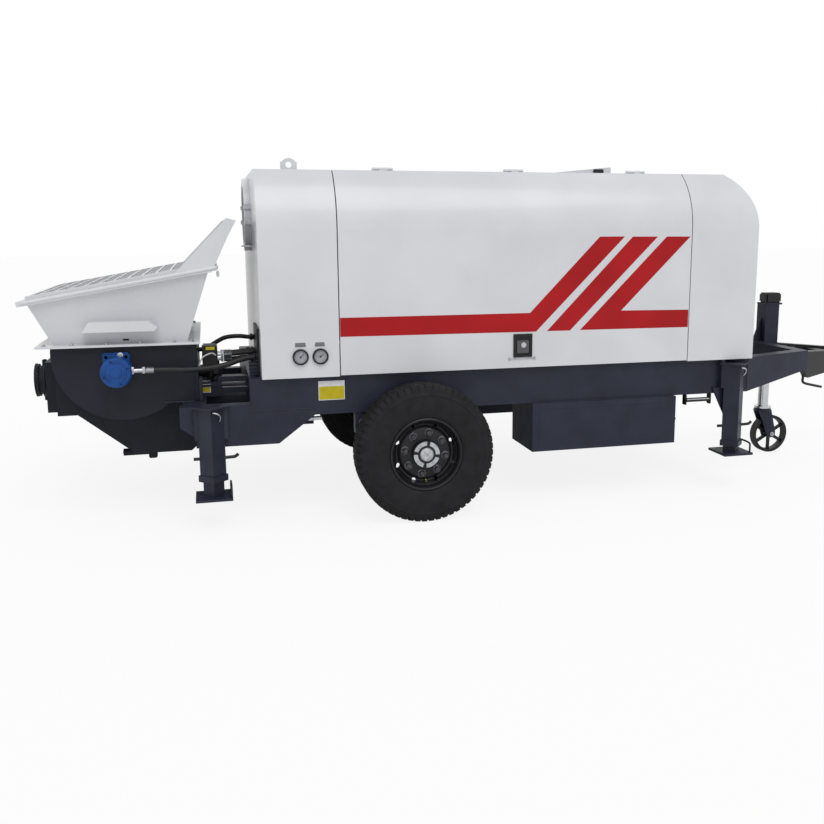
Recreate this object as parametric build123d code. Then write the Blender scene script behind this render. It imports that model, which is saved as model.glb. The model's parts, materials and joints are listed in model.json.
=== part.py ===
from build123d import *
import math
import os

# Trailer-mounted concrete pump. Sizes in millimetres.
# +X points to the towing end, -Y is the side with the gauges, z = 0 is the ground.
# Places along X are first taken from the axle; the finished pieces move so that
# the middle of the whole length is at x = 0.

# Overall reach from the axle
outlet_reach = 2190      # axle back to the face of the delivery outlet
eye_reach = 3700         # axle forward to the tip of the tow eye

# Wheels and axle
tyre_radius = 400
tyre_width = 210
rim_radius = 213
axle_size = 90
spindle_radius = 32
spring_width = 60
spring_top = 520
spring_half = 370        # half the length of the top leaf

# Chassis frame
rail_top = 843
rail_bottom = 622
rail_side = 760          # outer face of the side rails
rail_width = 80
rail_rear = -960
rail_front = 2180
beam_top = 700           # dropped rear beams
beam_bottom = 466
beam_rear = -1346
nose_x = 2765            # front face of the nose cross member
nose_half = 565
nose_depth = 130
nose_width = 80
wheel_gap = 30           # between the rails and the tyres
tyre_side = rail_side + wheel_gap + tyre_width
spring_y = rail_side - 10

# Canopy
canopy_side = 800
canopy_rear_x = -893
canopy_front_x = 2183
seam_rear_x = -456
seam_front_x = 1722
roof_z = 1995
shoulder_radius = 420
shoulder_drop = 335      # from the roof down to where the shoulder curve starts
shoulder_z = roof_z - shoulder_drop
wall = 28                # sheet and its inner frame together
seam_gap = 6
hinge_y = 600
hinge_radius = 9
door_bottom = 849

# Hopper
funnel_half = 640
rim_rear_x, rim_rear_z = -2150, 1262
rim_front_x, rim_front_z = -1107, 1442
funnel_base_rear, funnel_base_front = -2000, -1288
funnel_base_half = 530
flange_z = 1030
flange_thick = 12
flange_rear, flange_front = -2085, -1219
flange_half = 600
plate = 12               # hopper sheet
rim_lip = 28
grate_thick = 18
grate_pin = 6
grate_front_gap = 95     # from the front edge of the rim back to the grating's hinge
shield_top_x, shield_top_z = -1000, 1715
trough_half = 560
trough_rear, trough_front = -2000, -1240
drum_x, drum_z, drum_radius = -1640, 985, 375
housing_half = 300
housing_rear = -2040
housing_bottom = 350
cleanout_rear, cleanout_front = -1610, -1396
cleanout_pin_x, cleanout_pin_z = -1386, housing_bottom - 11
outlet_z = 774
outlet_bore = 75
outlet_flange = 98

# Pumping gear
cylinder_z = 620
cylinder_y = 150
cylinder_radius = 115
water_box_rear, water_box_front = -905, -560
drive_radius = 62
drive_front = 640
agitator_x, agitator_z = -1670, 895
shaft_radius = 28
paddle_reach = 250

# Legs
leg_rear_x, leg_front_x = -1180, 2060
leg_y = 800
sleeve_size = 100
inner_size = 80
leg_clearance = 0.5
sleeve_bottom = 285
foot_raises = {leg_rear_x: 190, leg_front_x: 235}   # height of the raised feet
foot_size = 200
foot_thick = 14

# Jockey wheel
post_size = 110
post_x = nose_x + post_size / 2
post_top = 1112
ram_radius = 38
jockey_radius = 140
jockey_width = 50
jockey_trail = 60
jockey_lift = 210        # how far the ram goes up
jockey_bore_top = post_top - 20

# Tow bar
bar_pin_x, bar_pin_z = 2825, 740
bar_half = 330
bar_width = 70
bar_depth = 190
eye_radius = 75
eye_hole = 38

# Side boxes
tank_rear, tank_front = 706, 1661
tank_bottom = 323
tank_depth = 380

touch = 0.3              # gap where curved faces of two pieces meet
middle_x = (outlet_reach - eye_reach) / 2


def box(x0, x1, y0, y1, z0, z1):
    return Pos((x0 + x1) / 2, (y0 + y1) / 2, (z0 + z1) / 2) * Box(x1 - x0, y1 - y0, z1 - z0)


def rod_x(radius, x0, x1, y, z):
    return Pos((x0 + x1) / 2, y, z) * Rot(0, 90, 0) * Cylinder(radius, x1 - x0)


def rod_y(radius, y0, y1, x, z):
    return Pos(x, (y0 + y1) / 2, z) * Rot(90, 0, 0) * Cylinder(radius, y1 - y0)


def rod_z(radius, z0, z1, x, y):
    return Pos(x, y, (z0 + z1) / 2) * Cylinder(radius, z1 - z0)


def slab_xz(points, y0, y1):
    face = make_face(Polyline(*points, close=True))
    return extrude(Plane.XZ.offset(-y1) * face, y1 - y0)


def slab_xy(points, z0, z1):
    face = make_face(Polyline(*points, close=True))
    return extrude(Plane.XY.offset(z0) * face, z1 - z0)


def mirrored(shape):
    return mirror(shape, Plane.XZ)


def pair(shape):
    return shape + mirrored(shape)


nodes = {}


def put(name, shape):
    nodes[name] = Pos(middle_x, 0, 0) * shape


# Canopy outline, and the pieces cut from it
def canopy_block(inset):
    side = canopy_side - inset
    top = roof_z - inset
    radius = shoulder_radius - inset
    rise = top - shoulder_z
    edge = side - radius + math.sqrt(radius ** 2 - rise ** 2)
    half_angle = math.asin(rise / radius) / 2
    mid_y = side - radius + radius * math.cos(half_angle)
    mid_z = shoulder_z + radius * math.sin(half_angle)
    cross = (
        Line((-side, rail_top), (-side, shoulder_z))
        + ThreePointArc((-side, shoulder_z), (-mid_y, mid_z), (-edge, top))
        + Line((-edge, top), (edge, top))
        + ThreePointArc((edge, top), (mid_y, mid_z), (side, shoulder_z))
        + Line((side, shoulder_z), (side, rail_top))
        + Line((side, rail_top), (-side, rail_top))
    )
    rear = canopy_rear_x + inset
    front = canopy_front_x - inset
    shift = front - side
    length = (
        Line((rear, rail_top), (rear, top))
        + Line((rear, top), (edge + shift, top))
        + ThreePointArc((edge + shift, top), (mid_y + shift, mid_z), (front, shoulder_z))
        + Line((front, shoulder_z), (front, rail_top))
        + Line((front, rail_top), (rear, rail_top))
    )
    spare = 50
    cross_block = extrude(Plane.YZ.offset(rear - spare) * make_face(cross),
                          front - rear + 2 * spare)
    length_block = extrude(Plane.XZ.offset(-side - spare) * make_face(length),
                           2 * (side + spare))
    return cross_block & length_block


def canopy():
    shell = canopy_block(0) - canopy_block(wall)
    shell -= box(canopy_rear_x + wall, canopy_front_x - wall, wall - canopy_side,
                 canopy_side - wall, rail_top - 1, rail_top + wall)
    rear = shell & box(canopy_rear_x, seam_rear_x - seam_gap / 2, -canopy_side, canopy_side,
                       rail_top, roof_z)
    rear -= rod_x(cowl_radius - 30, canopy_rear_x - 1, canopy_rear_x + wall + 1, 0, cowl_z)
    front = shell & box(seam_front_x + seam_gap / 2, canopy_front_x, -canopy_side, canopy_side,
                        rail_top, roof_z)
    front -= box(canopy_front_x - wall - 1, canopy_front_x + 1, -grille_half, grille_half,
                 grille_bottom, grille_top)
    roof = shell & box(seam_rear_x - seam_gap / 2, seam_front_x + seam_gap / 2,
                       seam_gap - hinge_y, hinge_y - seam_gap, roof_z - 2 * wall, roof_z)
    pin_z = roof_z + hinge_radius
    for x in hinge_places:
        knuckle = rod_x(hinge_radius, x - 60, x + 60, -hinge_y, pin_z)
        knuckle += box(x - 60, x + 60, -hinge_y, 26 - hinge_y, roof_z, roof_z + 6)
        knuckle -= box(x - 22, x + 22, -hinge_y - 10, 2 - hinge_y + 10, roof_z - 1, roof_z + 20)
        knuckle += rod_x(5, x - 22, x + 22, -hinge_y, pin_z)
        roof += pair(knuckle)
    side = shell & box(seam_rear_x + seam_gap / 2, seam_front_x - seam_gap / 2,
                       -canopy_side, -hinge_y, door_bottom, roof_z)
    for x in hinge_places:
        side -= rod_x(hinge_radius + seam_gap, x - 66, x + 66, -hinge_y, pin_z)
        side += rod_x(hinge_radius, x - 21.7, x + 21.7, -hinge_y, pin_z)
        side += box(x - 21.7, x + 21.7, -hinge_y - 30, -hinge_y, roof_z - 8, roof_z + 6)
        side -= rod_x(5.1, x - 22, x + 22, -hinge_y, pin_z)
    return rear, front, roof, side


cowl_radius = 220
cowl_z = 1755
grille_half = 560
grille_bottom = 960
grille_top = 1600
hinge_places = (-160, 633, 1426)

rear_hood, front_hood, roof_panel, near_door = canopy()
put("canopy_rear", rear_hood)
put("canopy_front", front_hood)
put("canopy_roof", roof_panel)
put("door_near", near_door)
put("door_far", mirrored(near_door))


# Door latches: a black recessed box low in the middle of each door
def latch():
    x = (seam_rear_x + seam_front_x) / 2
    plate_box = box(x - 58, x + 58, -canopy_side - 8, -canopy_side, 912, 1050)
    return plate_box - box(x - 44, x + 44, -canopy_side - 9, -canopy_side - 3, 926, 1036)


put("latch_near", latch())
put("latch_far", mirrored(latch()))


# Louvres in the front opening
def grille():
    x0 = canopy_front_x - wall
    frame = box(x0, canopy_front_x, -grille_half, grille_half, grille_bottom, grille_top)
    frame -= box(x0 - 1, canopy_front_x + 1, 30 - grille_half, grille_half - 30,
                 grille_bottom + 30, grille_top - 30)
    count = 12
    pitch = (grille_top - grille_bottom - 60) / count
    for i in range(count):
        z = grille_bottom + 30 + pitch * (i + 0.5)
        blade = Pos((x0 + canopy_front_x) / 2, 0, z) * Rot(0, 40, 0) * Box(
            wall - 6, 2 * grille_half - 58, 4)
        frame += blade
    return frame


put("radiator_grille", grille())
put("radiator", box(canopy_front_x - wall - 165, canopy_front_x - wall - 35, -480, 480,
                    rail_top, 1560))
put("engine_block", box(560, 1560, -330, 330, rail_top, 1560))


# Round cooler cowl on the rear wall
def cowl():
    ring = rod_x(cowl_radius, canopy_rear_x - 35, canopy_rear_x, 0, cowl_z)
    ring -= rod_x(cowl_radius - 40, canopy_rear_x - 36, canopy_rear_x + 1, 0, cowl_z)
    for radius in (45, 95, 145):
        ring += (rod_x(radius + 4, canopy_rear_x - 20, canopy_rear_x - 12, 0, cowl_z)
                 - rod_x(radius - 4, canopy_rear_x - 21, canopy_rear_x - 11, 0, cowl_z))
    for angle in range(0, 180, 45):
        bar = Pos(canopy_rear_x - 16, 0, cowl_z) * Rot(angle, 0, 0) * Box(
            8, 2 * cowl_radius - 60, 8)
        ring += bar
    return ring


put("cooler_cowl", cowl())


# Lifting lugs and the tilted cowl on the roof
def lug():
    plate_lug = box(-735, -643, -566, -550, roof_z, roof_z + 45)
    plate_lug += rod_y(46, -566, -550, -689, roof_z + 20) & box(
        -740, -640, -566, -550, roof_z, roof_z + 70)
    return plate_lug - rod_y(17, -567, -549, -689, roof_z + 30)


put("lifting_lugs", pair(lug()))
flap = slab_xz([(860, roof_z), (1190, roof_z), (1190, roof_z + 62), (1184, roof_z + 62)],
               -200, 200)
put("roof_cowl", flap)


# Gauges
put("gauges", rod_y(45, -canopy_side - 18, -canopy_side, -678, 962)
    + rod_y(45, -canopy_side - 18, -canopy_side, -567, 962))


# Chassis frame
def leg_tube(size, z0, z1):
    """Square tube turned by 45 degrees"""
    return Pos(0, 0, (z0 + z1) / 2) * Rot(0, 0, 45) * Box(size, size, z1 - z0)


def side_rail():
    inner = rail_side - rail_width
    rail = box(rail_rear, rail_front, -rail_side, -inner, rail_bottom, rail_top)
    beam = slab_xz([(beam_rear, beam_top), (beam_rear, 585), (-1264, 524), (-1264, beam_bottom),
                    (-809, beam_bottom), (-600, rail_bottom), (-600, beam_top)],
                   -rail_side, -inner)
    arm = slab_xy([(rail_front, -rail_side), (nose_x, -nose_half), (nose_x, -nose_half + 86),
                   (rail_front, -inner)], rail_bottom, rail_top)
    arm -= slab_xz([(rail_front, rail_bottom), (nose_x, rail_top - nose_depth),
                    (nose_x + 1, rail_bottom - 1), (rail_front, rail_bottom - 1)],
                   -rail_side - 1, 0)
    return rail + beam + arm


def leg_seat(x, z0, z1):
    """Plate that carries one leg sleeve beside the rail"""
    half = sleeve_size / math.sqrt(2)
    return box(x - half - 20, x + half + 20, -leg_y, -rail_side, z0, z1)


def frame():
    body = pair(side_rail())
    inner = rail_side - rail_width
    for x0, x1, z0, z1 in (
        (rail_rear, rail_rear + 40, rail_bottom, rail_top),
        (-400, -320, rail_bottom + 60, rail_top),
        (540, 620, rail_bottom + 95, rail_top),
        (1500, 1580, rail_bottom + 60, rail_top),
        (rail_front - 80, rail_front, rail_bottom, rail_top),
    ):
        body += box(x0, x1, -inner, inner, z0, z1)
    body += box(nose_x - nose_width, nose_x, -nose_half, nose_half, rail_top - nose_depth,
                rail_top)
    body += box(trough_front, trough_front + 40, -inner, inner, beam_bottom, beam_top)
    for y in (-cylinder_y, cylinder_y):
        body -= rod_x(cylinder_radius + 4, trough_front - 1, trough_front + 41, y, cylinder_z)
        body -= rod_x(cylinder_radius + 4, rail_rear - 1, rail_rear + 41, y, cylinder_z)
    body += pair(box(-1330, trough_front, -inner, -trough_half, 625, beam_top))
    body += pair(leg_seat(leg_rear_x, 520, beam_top))
    body += pair(leg_seat(leg_front_x, 660, rail_top))
    for x in (leg_rear_x, leg_front_x):
        body -= pair(Pos(x, -leg_y, 0) * leg_tube(sleeve_size, 400, rail_top + 1))
    for x in (40 - spring_half, spring_half - 40):
        hanger = box(x - 40, x + 40, -spring_y, -spring_y + spring_width, spring_top, rail_bottom)
        body += pair(hanger)
    lug_plate = slab_xz([(nose_x, rail_top), (nose_x + 30, rail_top), (bar_pin_x + 45, 770),
                         (bar_pin_x + 45, 705), (nose_x, 705)], -bar_half - 55, -bar_half - 40)
    lugs = lug_plate + Pos(0, 95, 0) * lug_plate
    lugs -= rod_y(15.1, -bar_half - 60, -bar_half + 60, bar_pin_x, bar_pin_z)
    body += pair(lugs)
    return body


put("chassis_frame", frame())


# Leg sleeves, with cap plate and collar, and the sliding legs
def sleeve(top):
    tube = leg_tube(sleeve_size, sleeve_bottom, top) + leg_tube(
        sleeve_size + 14, sleeve_bottom, sleeve_bottom + 36)
    tube -= leg_tube(inner_size + 2 * leg_clearance, sleeve_bottom - 1, top - 8)
    return tube


def leg(base, top):
    tube = leg_tube(inner_size, base + foot_thick - 1, top)
    foot = Pos(0, 0, base + foot_thick / 2) * Box(foot_size, foot_size, foot_thick)
    return tube + foot


sleeve_tops = {leg_rear_x: beam_top, leg_front_x: rail_top - 30}
sleeve_set = Part()
for leg_x, top in sleeve_tops.items():
    sleeve_set += pair(Pos(leg_x, -leg_y, 0) * sleeve(top))
put("leg_sleeves", sleeve_set)
for place, leg_x in (("rear", leg_rear_x), ("front", leg_front_x)):
    for side_name, side_y in (("near", -leg_y), ("far", leg_y)):
        inner_leg = leg(foot_raises[leg_x], sleeve_tops[leg_x] - 30)
        put(f"leg_{place}_{side_name}", Pos(leg_x, side_y, 0) * inner_leg)


# Axle, springs and wheels
def axle():
    inner = tyre_side - tyre_width
    beam = box(-axle_size / 2, axle_size / 2, -inner + 25, inner - 25,
               tyre_radius - axle_size / 2, tyre_radius + axle_size / 2)
    beam += rod_y(spindle_radius, -tyre_side + 60, tyre_side - 60, 0, tyre_radius)
    return beam


put("axle_beam", axle())


def spring():
    y0 = -spring_y
    y1 = y0 + spring_width
    base = tyre_radius + axle_size / 2
    pack = box(-300, 300, y0, y1, base + 40, base + 52) + box(
        -220, 220, y0, y1, base + 28, base + 40) + box(-140, 140, y0, y1, base, base + 28)
    pack += box(-spring_half, spring_half, y0, y1, base + 52, spring_top)
    return pack


put("leaf_springs", pair(spring()))


def ring_y(profile, y_shift):
    """Revolve a half section, given as (radius, y) points, about the axle line"""
    face = make_face(Polyline(*[(r, y) for r, y in profile], close=True))
    solid = revolve(face, Axis.Y)
    return Pos(0, y_shift, tyre_radius) * solid


def tyre():
    half = tyre_width / 2
    profile = [(rim_radius, 20 - half), (tyre_radius - 90, -half), (tyre_radius - 30, 10 - half),
               (tyre_radius, 45 - half), (tyre_radius, half - 45), (tyre_radius - 30, half - 10),
               (tyre_radius - 90, half), (rim_radius, half - 20)]
    return ring_y(profile, half - tyre_side)


def wheel_rim():
    half = tyre_width / 2 - 25
    outer = rim_radius - touch
    well = [(outer - 20, -half), (outer, -half), (outer, half), (outer - 20, half)]
    disc = [(outer - 18, 30 - half), (outer - 18, 42 - half), (120, 72 - half), (95, 50 - half),
            (50, 50 - half), (50, 38 - half), (100, 38 - half), (124, 60 - half)]
    hub = [(0, -half - 20), (48, -half - 20), (62, 20 - half), (62, half - 20),
           (spindle_radius + touch, half - 20), (spindle_radius + touch, 20 - half),
           (0, 20 - half)]
    shift = tyre_width / 2 - tyre_side
    solid = ring_y(well, shift) + ring_y(disc, shift) + ring_y(hub, shift)
    for i in range(8):
        angle = math.radians(45 * i + 22.5)
        x = 160 * math.cos(angle)
        z = tyre_radius + 160 * math.sin(angle)
        solid -= rod_y(17, -tyre_side, 120 - tyre_side, x, z)
    return solid


put("tyre_near", tyre())
put("tyre_far", mirrored(tyre()))
put("rim_near", wheel_rim())
put("rim_far", mirrored(wheel_rim()))


# Hopper: white funnel above, dark trough below
def funnel_loft(inset):
    low = [(funnel_base_rear + inset, inset - funnel_base_half),
           (funnel_base_front - inset, inset - funnel_base_half),
           (funnel_base_front - inset, funnel_base_half - inset),
           (funnel_base_rear + inset, funnel_base_half - inset)]
    base = flange_z + flange_thick
    run = rim_front_x - rim_rear_x
    slope = math.atan2(rim_front_z - rim_rear_z, run)
    length = run / math.cos(slope) - 2 * inset - 100
    mid = Plane(origin=((rim_rear_x + rim_front_x) / 2, 0, (rim_rear_z + rim_front_z) / 2),
                x_dir=(math.cos(slope), 0, math.sin(slope)),
                z_dir=(-math.sin(slope), 0, math.cos(slope)))
    bottom = Plane.XY.offset(base) * make_face(Polyline(*low, close=True))
    top = mid * Rectangle(length, 2 * (funnel_half - 30 - inset))
    return loft([bottom, top], ruled=True), mid, run / math.cos(slope)


def funnel():
    outer, rim_plane, run = funnel_loft(0)
    half_lug = funnel_half - 45 + 10
    inner, _, _ = funnel_loft(plate)
    lip = extrude(rim_plane * (Rectangle(run, 2 * funnel_half)
                               - Rectangle(run - 160, 2 * funnel_half - 120)), rim_lip)
    base = box(flange_rear, flange_front, -flange_half, flange_half, flange_z,
               flange_z + flange_thick)
    base -= box(funnel_base_rear + plate, funnel_base_front - plate, plate - funnel_base_half,
                funnel_base_half - plate, flange_z - 1, flange_z + flange_thick + 1)
    rise = rim_front_z + 20
    shield = slab_xz([(rim_front_x - 40, rise), (rim_front_x - 28, rise),
                      (shield_top_x + 6, shield_top_z), (shield_top_x - 44, shield_top_z + 14),
                      (shield_top_x - 46, shield_top_z + 4), (shield_top_x - 12, shield_top_z - 8)],
                     -funnel_half, funnel_half)
    wing = slab_xz([(-1340, 1425), (rim_front_x - 30, rise - 30), (shield_top_x, shield_top_z),
                    (shield_top_x - 46, shield_top_z + 12)], -funnel_half, -funnel_half + plate)
    ledge = slab_xz([(-1835, 1116), (-1460, 1116), (-1440, 1135), (-1490, 1172),
                     (-1800, 1172)], -funnel_half, -funnel_base_half)
    seat = rim_plane.offset(rim_lip)
    lug_shape = extrude(seat * Pos(run / 2 - grate_front_gap, half_lug) * Rectangle(30, 10), 26)
    pin_hole = (seat * Pos(run / 2 - grate_front_gap, half_lug, touch + grate_thick / 2)
                * Rot(90, 0, 0) * Cylinder(grate_pin + 0.1, 12))
    lugs = pair(lug_shape - pin_hole)
    return outer - inner + lip + base + shield + pair(wing) + (pair(ledge) - inner) + lugs


def trough_block(inset):
    top = flange_z
    drum = rod_y(drum_radius - inset, inset - trough_half, trough_half - inset, drum_x, drum_z)
    drum &= box(trough_rear - 100, trough_front + 100, -trough_half, trough_half, 0, top + 1)
    upper = box(trough_rear + inset, trough_front - inset, inset - trough_half,
                trough_half - inset, drum_z - 60, top + (1 if inset else 0))
    housing = slab_xz([(housing_rear + inset, drum_z - 60), (housing_rear + inset, 600 + inset),
                       (-1930, 600 + inset), (-1620, housing_bottom + inset),
                       (-1300, housing_bottom + inset),
                       (trough_front - inset, housing_bottom + 50 + inset),
                       (trough_front - inset, drum_z - 60)],
                      inset - housing_half, housing_half - inset)
    block = drum + upper + housing
    return block & box(-2300, -1000, -700, 700, 0, top + (1 if inset else 0))


def trough():
    body = trough_block(0) - trough_block(plate)
    for y in (-cylinder_y, cylinder_y):
        body -= rod_x(cylinder_radius + touch, trough_front - plate - 1, trough_front + 1, y,
                      cylinder_z)
    body -= rod_x(outlet_bore + 12, housing_rear - 1, housing_rear + plate + 1, 0, outlet_z)
    body -= rod_x(30.2, trough_front - plate - 1, trough_front + 1, 0, outlet_z)
    body -= rod_y(shaft_radius + touch, -trough_half - 1, trough_half + 1, agitator_x, agitator_z)
    body -= box(cleanout_rear + 10, cleanout_front - 10, -160, 160, housing_bottom - 1,
                housing_bottom + plate + 1)
    for y in (-120, 120):
        for edge in (y - 30, y + 21):
            body += box(cleanout_pin_x - 5, cleanout_pin_x + 5, edge, edge + 9,
                        cleanout_pin_z - 6, housing_bottom + 1)
        body += rod_y(5, y - 30, y + 30, cleanout_pin_x, cleanout_pin_z)
    return body


put("hopper_funnel", funnel())
put("hopper_trough", trough())


# Delivery outlet on the back of the housing
def outlet():
    pipe = rod_x(outlet_bore + 10, -outlet_reach, housing_rear, 0, outlet_z)
    pipe += rod_x(outlet_flange, -outlet_reach + 4, -outlet_reach + 24, 0, outlet_z)
    pipe += rod_x(outlet_flange + 6, -outlet_reach + 44, -outlet_reach + 62, 0, outlet_z)
    pipe += box(housing_rear - 72, housing_rear, -170, 170, 600, 900)
    return pipe - rod_x(outlet_bore, -outlet_reach - 1, housing_rear + 1, 0, outlet_z)


put("outlet_pipe", outlet())


# Clean-out door under the housing
def cleanout():
    base = housing_bottom
    door = box(cleanout_rear, cleanout_front, -175, 175, base - 16, base - touch)
    for y in (-120, 120):
        door += rod_y(10, y - 20, y + 20, cleanout_pin_x, cleanout_pin_z)
        door += box(cleanout_front - 20, cleanout_pin_x, y - 20, y + 20, cleanout_pin_z - 5,
                    cleanout_pin_z + 5)
        door -= rod_y(5.1, y - 21, y + 21, cleanout_pin_x, cleanout_pin_z)
    door += rod_x(10, cleanout_rear - 100, cleanout_rear + 110, -120, base - 28)
    door += box(cleanout_rear + 50, cleanout_rear + 100, -150, -90, base - 40, base - 14)
    return door


put("cleanout_door", cleanout())


# Swing tube between the two cylinder mouths and the outlet
def swing_tube():
    drop = outlet_z - math.hypot(cylinder_y, outlet_z - cylinder_z)
    rear = housing_rear + plate + 6
    front = trough_front - plate - 6
    path = FilletPolyline((rear, 0, outlet_z), (rear + 180, 0, outlet_z), (front - 180, 0, drop),
                          (front, 0, drop), radius=260)
    mouth = Plane(origin=(rear, 0, outlet_z), z_dir=(1, 0, 0))
    tube = sweep(mouth * Circle(100), path) - sweep(mouth * Circle(86), path)
    shaft = rod_x(30, front - 130, trough_front + 60, 0, outlet_z)
    web = slab_xz([(front - 130, outlet_z - 10), (front - 60, outlet_z - 10),
                   (front - 50, drop + 95), (front - 130, drop + 95)], -12, 12)
    arm = box(trough_front + 46, trough_front + 76, -40, 40, outlet_z - 40, outlet_z + 150)
    return tube + shaft + web + arm


put("swing_tube", swing_tube())


# Agitator shaft with paddles on both sides of the swing tube
def agitator():
    shaft = rod_y(shaft_radius, -trough_half - 40, trough_half + 40, agitator_x, agitator_z)
    for side_sign in (-1, 1):
        for i, y in enumerate((360, 470)):
            angle = 90 * i + 45
            blade = Box(2 * paddle_reach, 14, 60) - Box(150, 20, 70)
            blade += Box(160, 14, 24)
            shaft += Pos(agitator_x, side_sign * y, agitator_z) * Rot(0, angle, 0) * blade
    return shaft


put("agitator", agitator())


# Agitator motor on the near side, bearing cap on the far side
def motor():
    flange = rod_y(75, -trough_half - 14, -trough_half, agitator_x, agitator_z)
    flange += box(agitator_x - 92, agitator_x + 92, -trough_half - 14, -trough_half,
                  agitator_z, agitator_z + 60)
    can = rod_y(66, -trough_half - 120, -trough_half - 14, agitator_x, agitator_z)
    return flange + can - rod_y(shaft_radius + touch, -trough_half - 45, -trough_half + 1,
                                agitator_x, agitator_z)


put("agitator_motor", motor())
cap = rod_y(80, trough_half, trough_half + 60, agitator_x, agitator_z)
put("bearing_cap", cap - rod_y(shaft_radius + touch, trough_half - 1, trough_half + 45,
                               agitator_x, agitator_z))


# Grating that lies on the rim, hinged below the shield
def grating():
    _, rim_plane, run = funnel_loft(0)
    rear = 45 - run / 2
    front = run / 2 - grate_front_gap
    half = funnel_half - 45
    seat = rim_plane.offset(rim_lip + touch)
    mid = (rear + front) / 2
    length = front - rear
    solid = extrude(seat * Pos(mid, 0) * (Rectangle(length, 2 * half)
                                          - Rectangle(length - 60, 2 * half - 60)), grate_thick)
    count = 12
    for i in range(1, count):
        x = rear + length * i / count
        solid += extrude(seat * Pos(x, 0) * Rectangle(12, 2 * half - 50), grate_thick)
    for y in (-half / 3, half / 3):
        solid += extrude(seat * Pos(mid, y) * Rectangle(length - 50, 14), grate_thick)
    hinge = seat * Pos(front, 0, grate_thick / 2) * Rot(90, 0, 0)
    solid += hinge * Cylinder(grate_thick / 2, 2 * half)
    return solid + hinge * Cylinder(grate_pin, 2 * half + 36)


put("hopper_grille", grating())


# Pumping cylinders, water box and drive cylinders
def delivery():
    tube = rod_x(cylinder_radius, trough_front - plate, water_box_rear, cylinder_y, cylinder_z)
    tube -= rod_x(100, trough_front - plate - 1, water_box_rear + 1, cylinder_y, cylinder_z)
    return pair(tube)


put("delivery_cylinders", delivery())
tank_box = box(water_box_rear, water_box_front, -290, 290, 470, 790)
put("water_box", tank_box - box(water_box_rear + 12, water_box_front - 12, -278, 278, 482, 791))


def drives():
    y = cylinder_y
    barrel = rod_x(drive_radius, water_box_front, drive_front, y, cylinder_z)
    barrel += rod_x(drive_radius + 22, drive_front - 60, drive_front, y, cylinder_z)
    barrel += rod_x(drive_radius + 22, water_box_front, water_box_front + 50, y, cylinder_z)
    return pair(barrel)


put("drive_cylinders", drives())


# Side boxes hung under the rails
def side_box():
    outer = box(tank_rear, tank_front, -rail_side - 30, -rail_side - 30 + tank_depth,
                tank_bottom, rail_bottom)
    return outer


put("side_box_near", side_box())
put("side_box_far", mirrored(side_box()))


# Jockey wheel
def jockey_post():
    tube = box(post_x - 55, post_x + 55, -55, 55, 580, post_top)
    tube -= rod_z(ram_radius + 0.5, 579, jockey_bore_top, post_x, 0)
    tube += box(post_x - 55, post_x + 75, -60, 60, post_top, post_top + 12)
    return tube


put("jockey_post", jockey_post())
ram = rod_z(ram_radius, 2 * jockey_radius + 60, jockey_bore_top - jockey_lift - 5, post_x, 0)
ram += rod_z(60, 2 * jockey_radius + 60, 2 * jockey_radius + 76, post_x, 0)
ram += rod_z(20, 2 * jockey_radius + 20, 2 * jockey_radius + 61, post_x, 0)
put("jockey_ram", ram)


def fork():
    top = 2 * jockey_radius + 55
    crown = rod_z(60, top - 20, top, post_x, 0) - rod_z(20.5, top - 21, top + 1, post_x, 0)
    cheek = slab_xz([(post_x - 50, top - 18), (post_x + 50, top - 18),
                     (post_x + jockey_trail + 30, jockey_radius + 20),
                     (post_x + jockey_trail + 30, jockey_radius - 25),
                     (post_x + jockey_trail - 30, jockey_radius - 25)],
                    -jockey_width / 2 - 18, -jockey_width / 2 - 8)
    crown += box(post_x - 50, post_x + 50, -jockey_width / 2 - 18, jockey_width / 2 + 18,
                 top - 20, top - 8) - rod_z(20.5, top - 21, top + 1, post_x, 0)
    crown += pair(cheek)
    crown += rod_y(12, -jockey_width / 2 - 22, jockey_width / 2 + 22,
                   post_x + jockey_trail, jockey_radius)
    return crown


put("jockey_fork", fork())


def jockey_wheel():
    half = jockey_width / 2
    x = post_x + jockey_trail
    tread = rod_y(jockey_radius, -half, half, x, jockey_radius) - rod_y(
        jockey_radius - 22, -half - 1, half + 1, x, jockey_radius)
    hub = rod_y(30, -half - 4, half + 4, x, jockey_radius)
    for i in range(3):
        hub += Pos(x, 0, jockey_radius) * Rot(0, 60 * i + 30, 0) * Box(
            2 * jockey_radius - 30, 14, 22)
    wheel = tread + hub
    return wheel - rod_y(12 + touch, -half - 5, half + 5, x, jockey_radius)


put("jockey_wheel", jockey_wheel())


# Tow bar with its eye
def tow_bar():
    tip = eye_reach - 2 * eye_radius
    side = bar_width / 2
    arm = slab_xy([(bar_pin_x - 20, -bar_half - side), (bar_pin_x + 60, -bar_half - side),
                   (tip, -60), (tip, 10), (bar_pin_x + 60, -bar_half + side),
                   (bar_pin_x - 20, -bar_half + side)], 500, 900)
    profile = slab_xz([(bar_pin_x, bar_pin_z + 48), (bar_pin_x + 90, bar_pin_z + 60),
                       (tip, bar_pin_z + 20), (tip, bar_pin_z - 90),
                       (bar_pin_x + 120, bar_pin_z - bar_depth + 60),
                       (bar_pin_x + 60, bar_pin_z - 48), (bar_pin_x, bar_pin_z - 48)],
                      -500, 500)
    profile += rod_y(48, -500, 500, bar_pin_x, bar_pin_z)
    bar = pair(arm & profile)
    bar -= pair(rod_y(15.1, -500, -bar_half + 60, bar_pin_x, bar_pin_z))
    bar += box(3240, 3310, -180, 180, bar_pin_z - 60, bar_pin_z + 20)
    return bar


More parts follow.
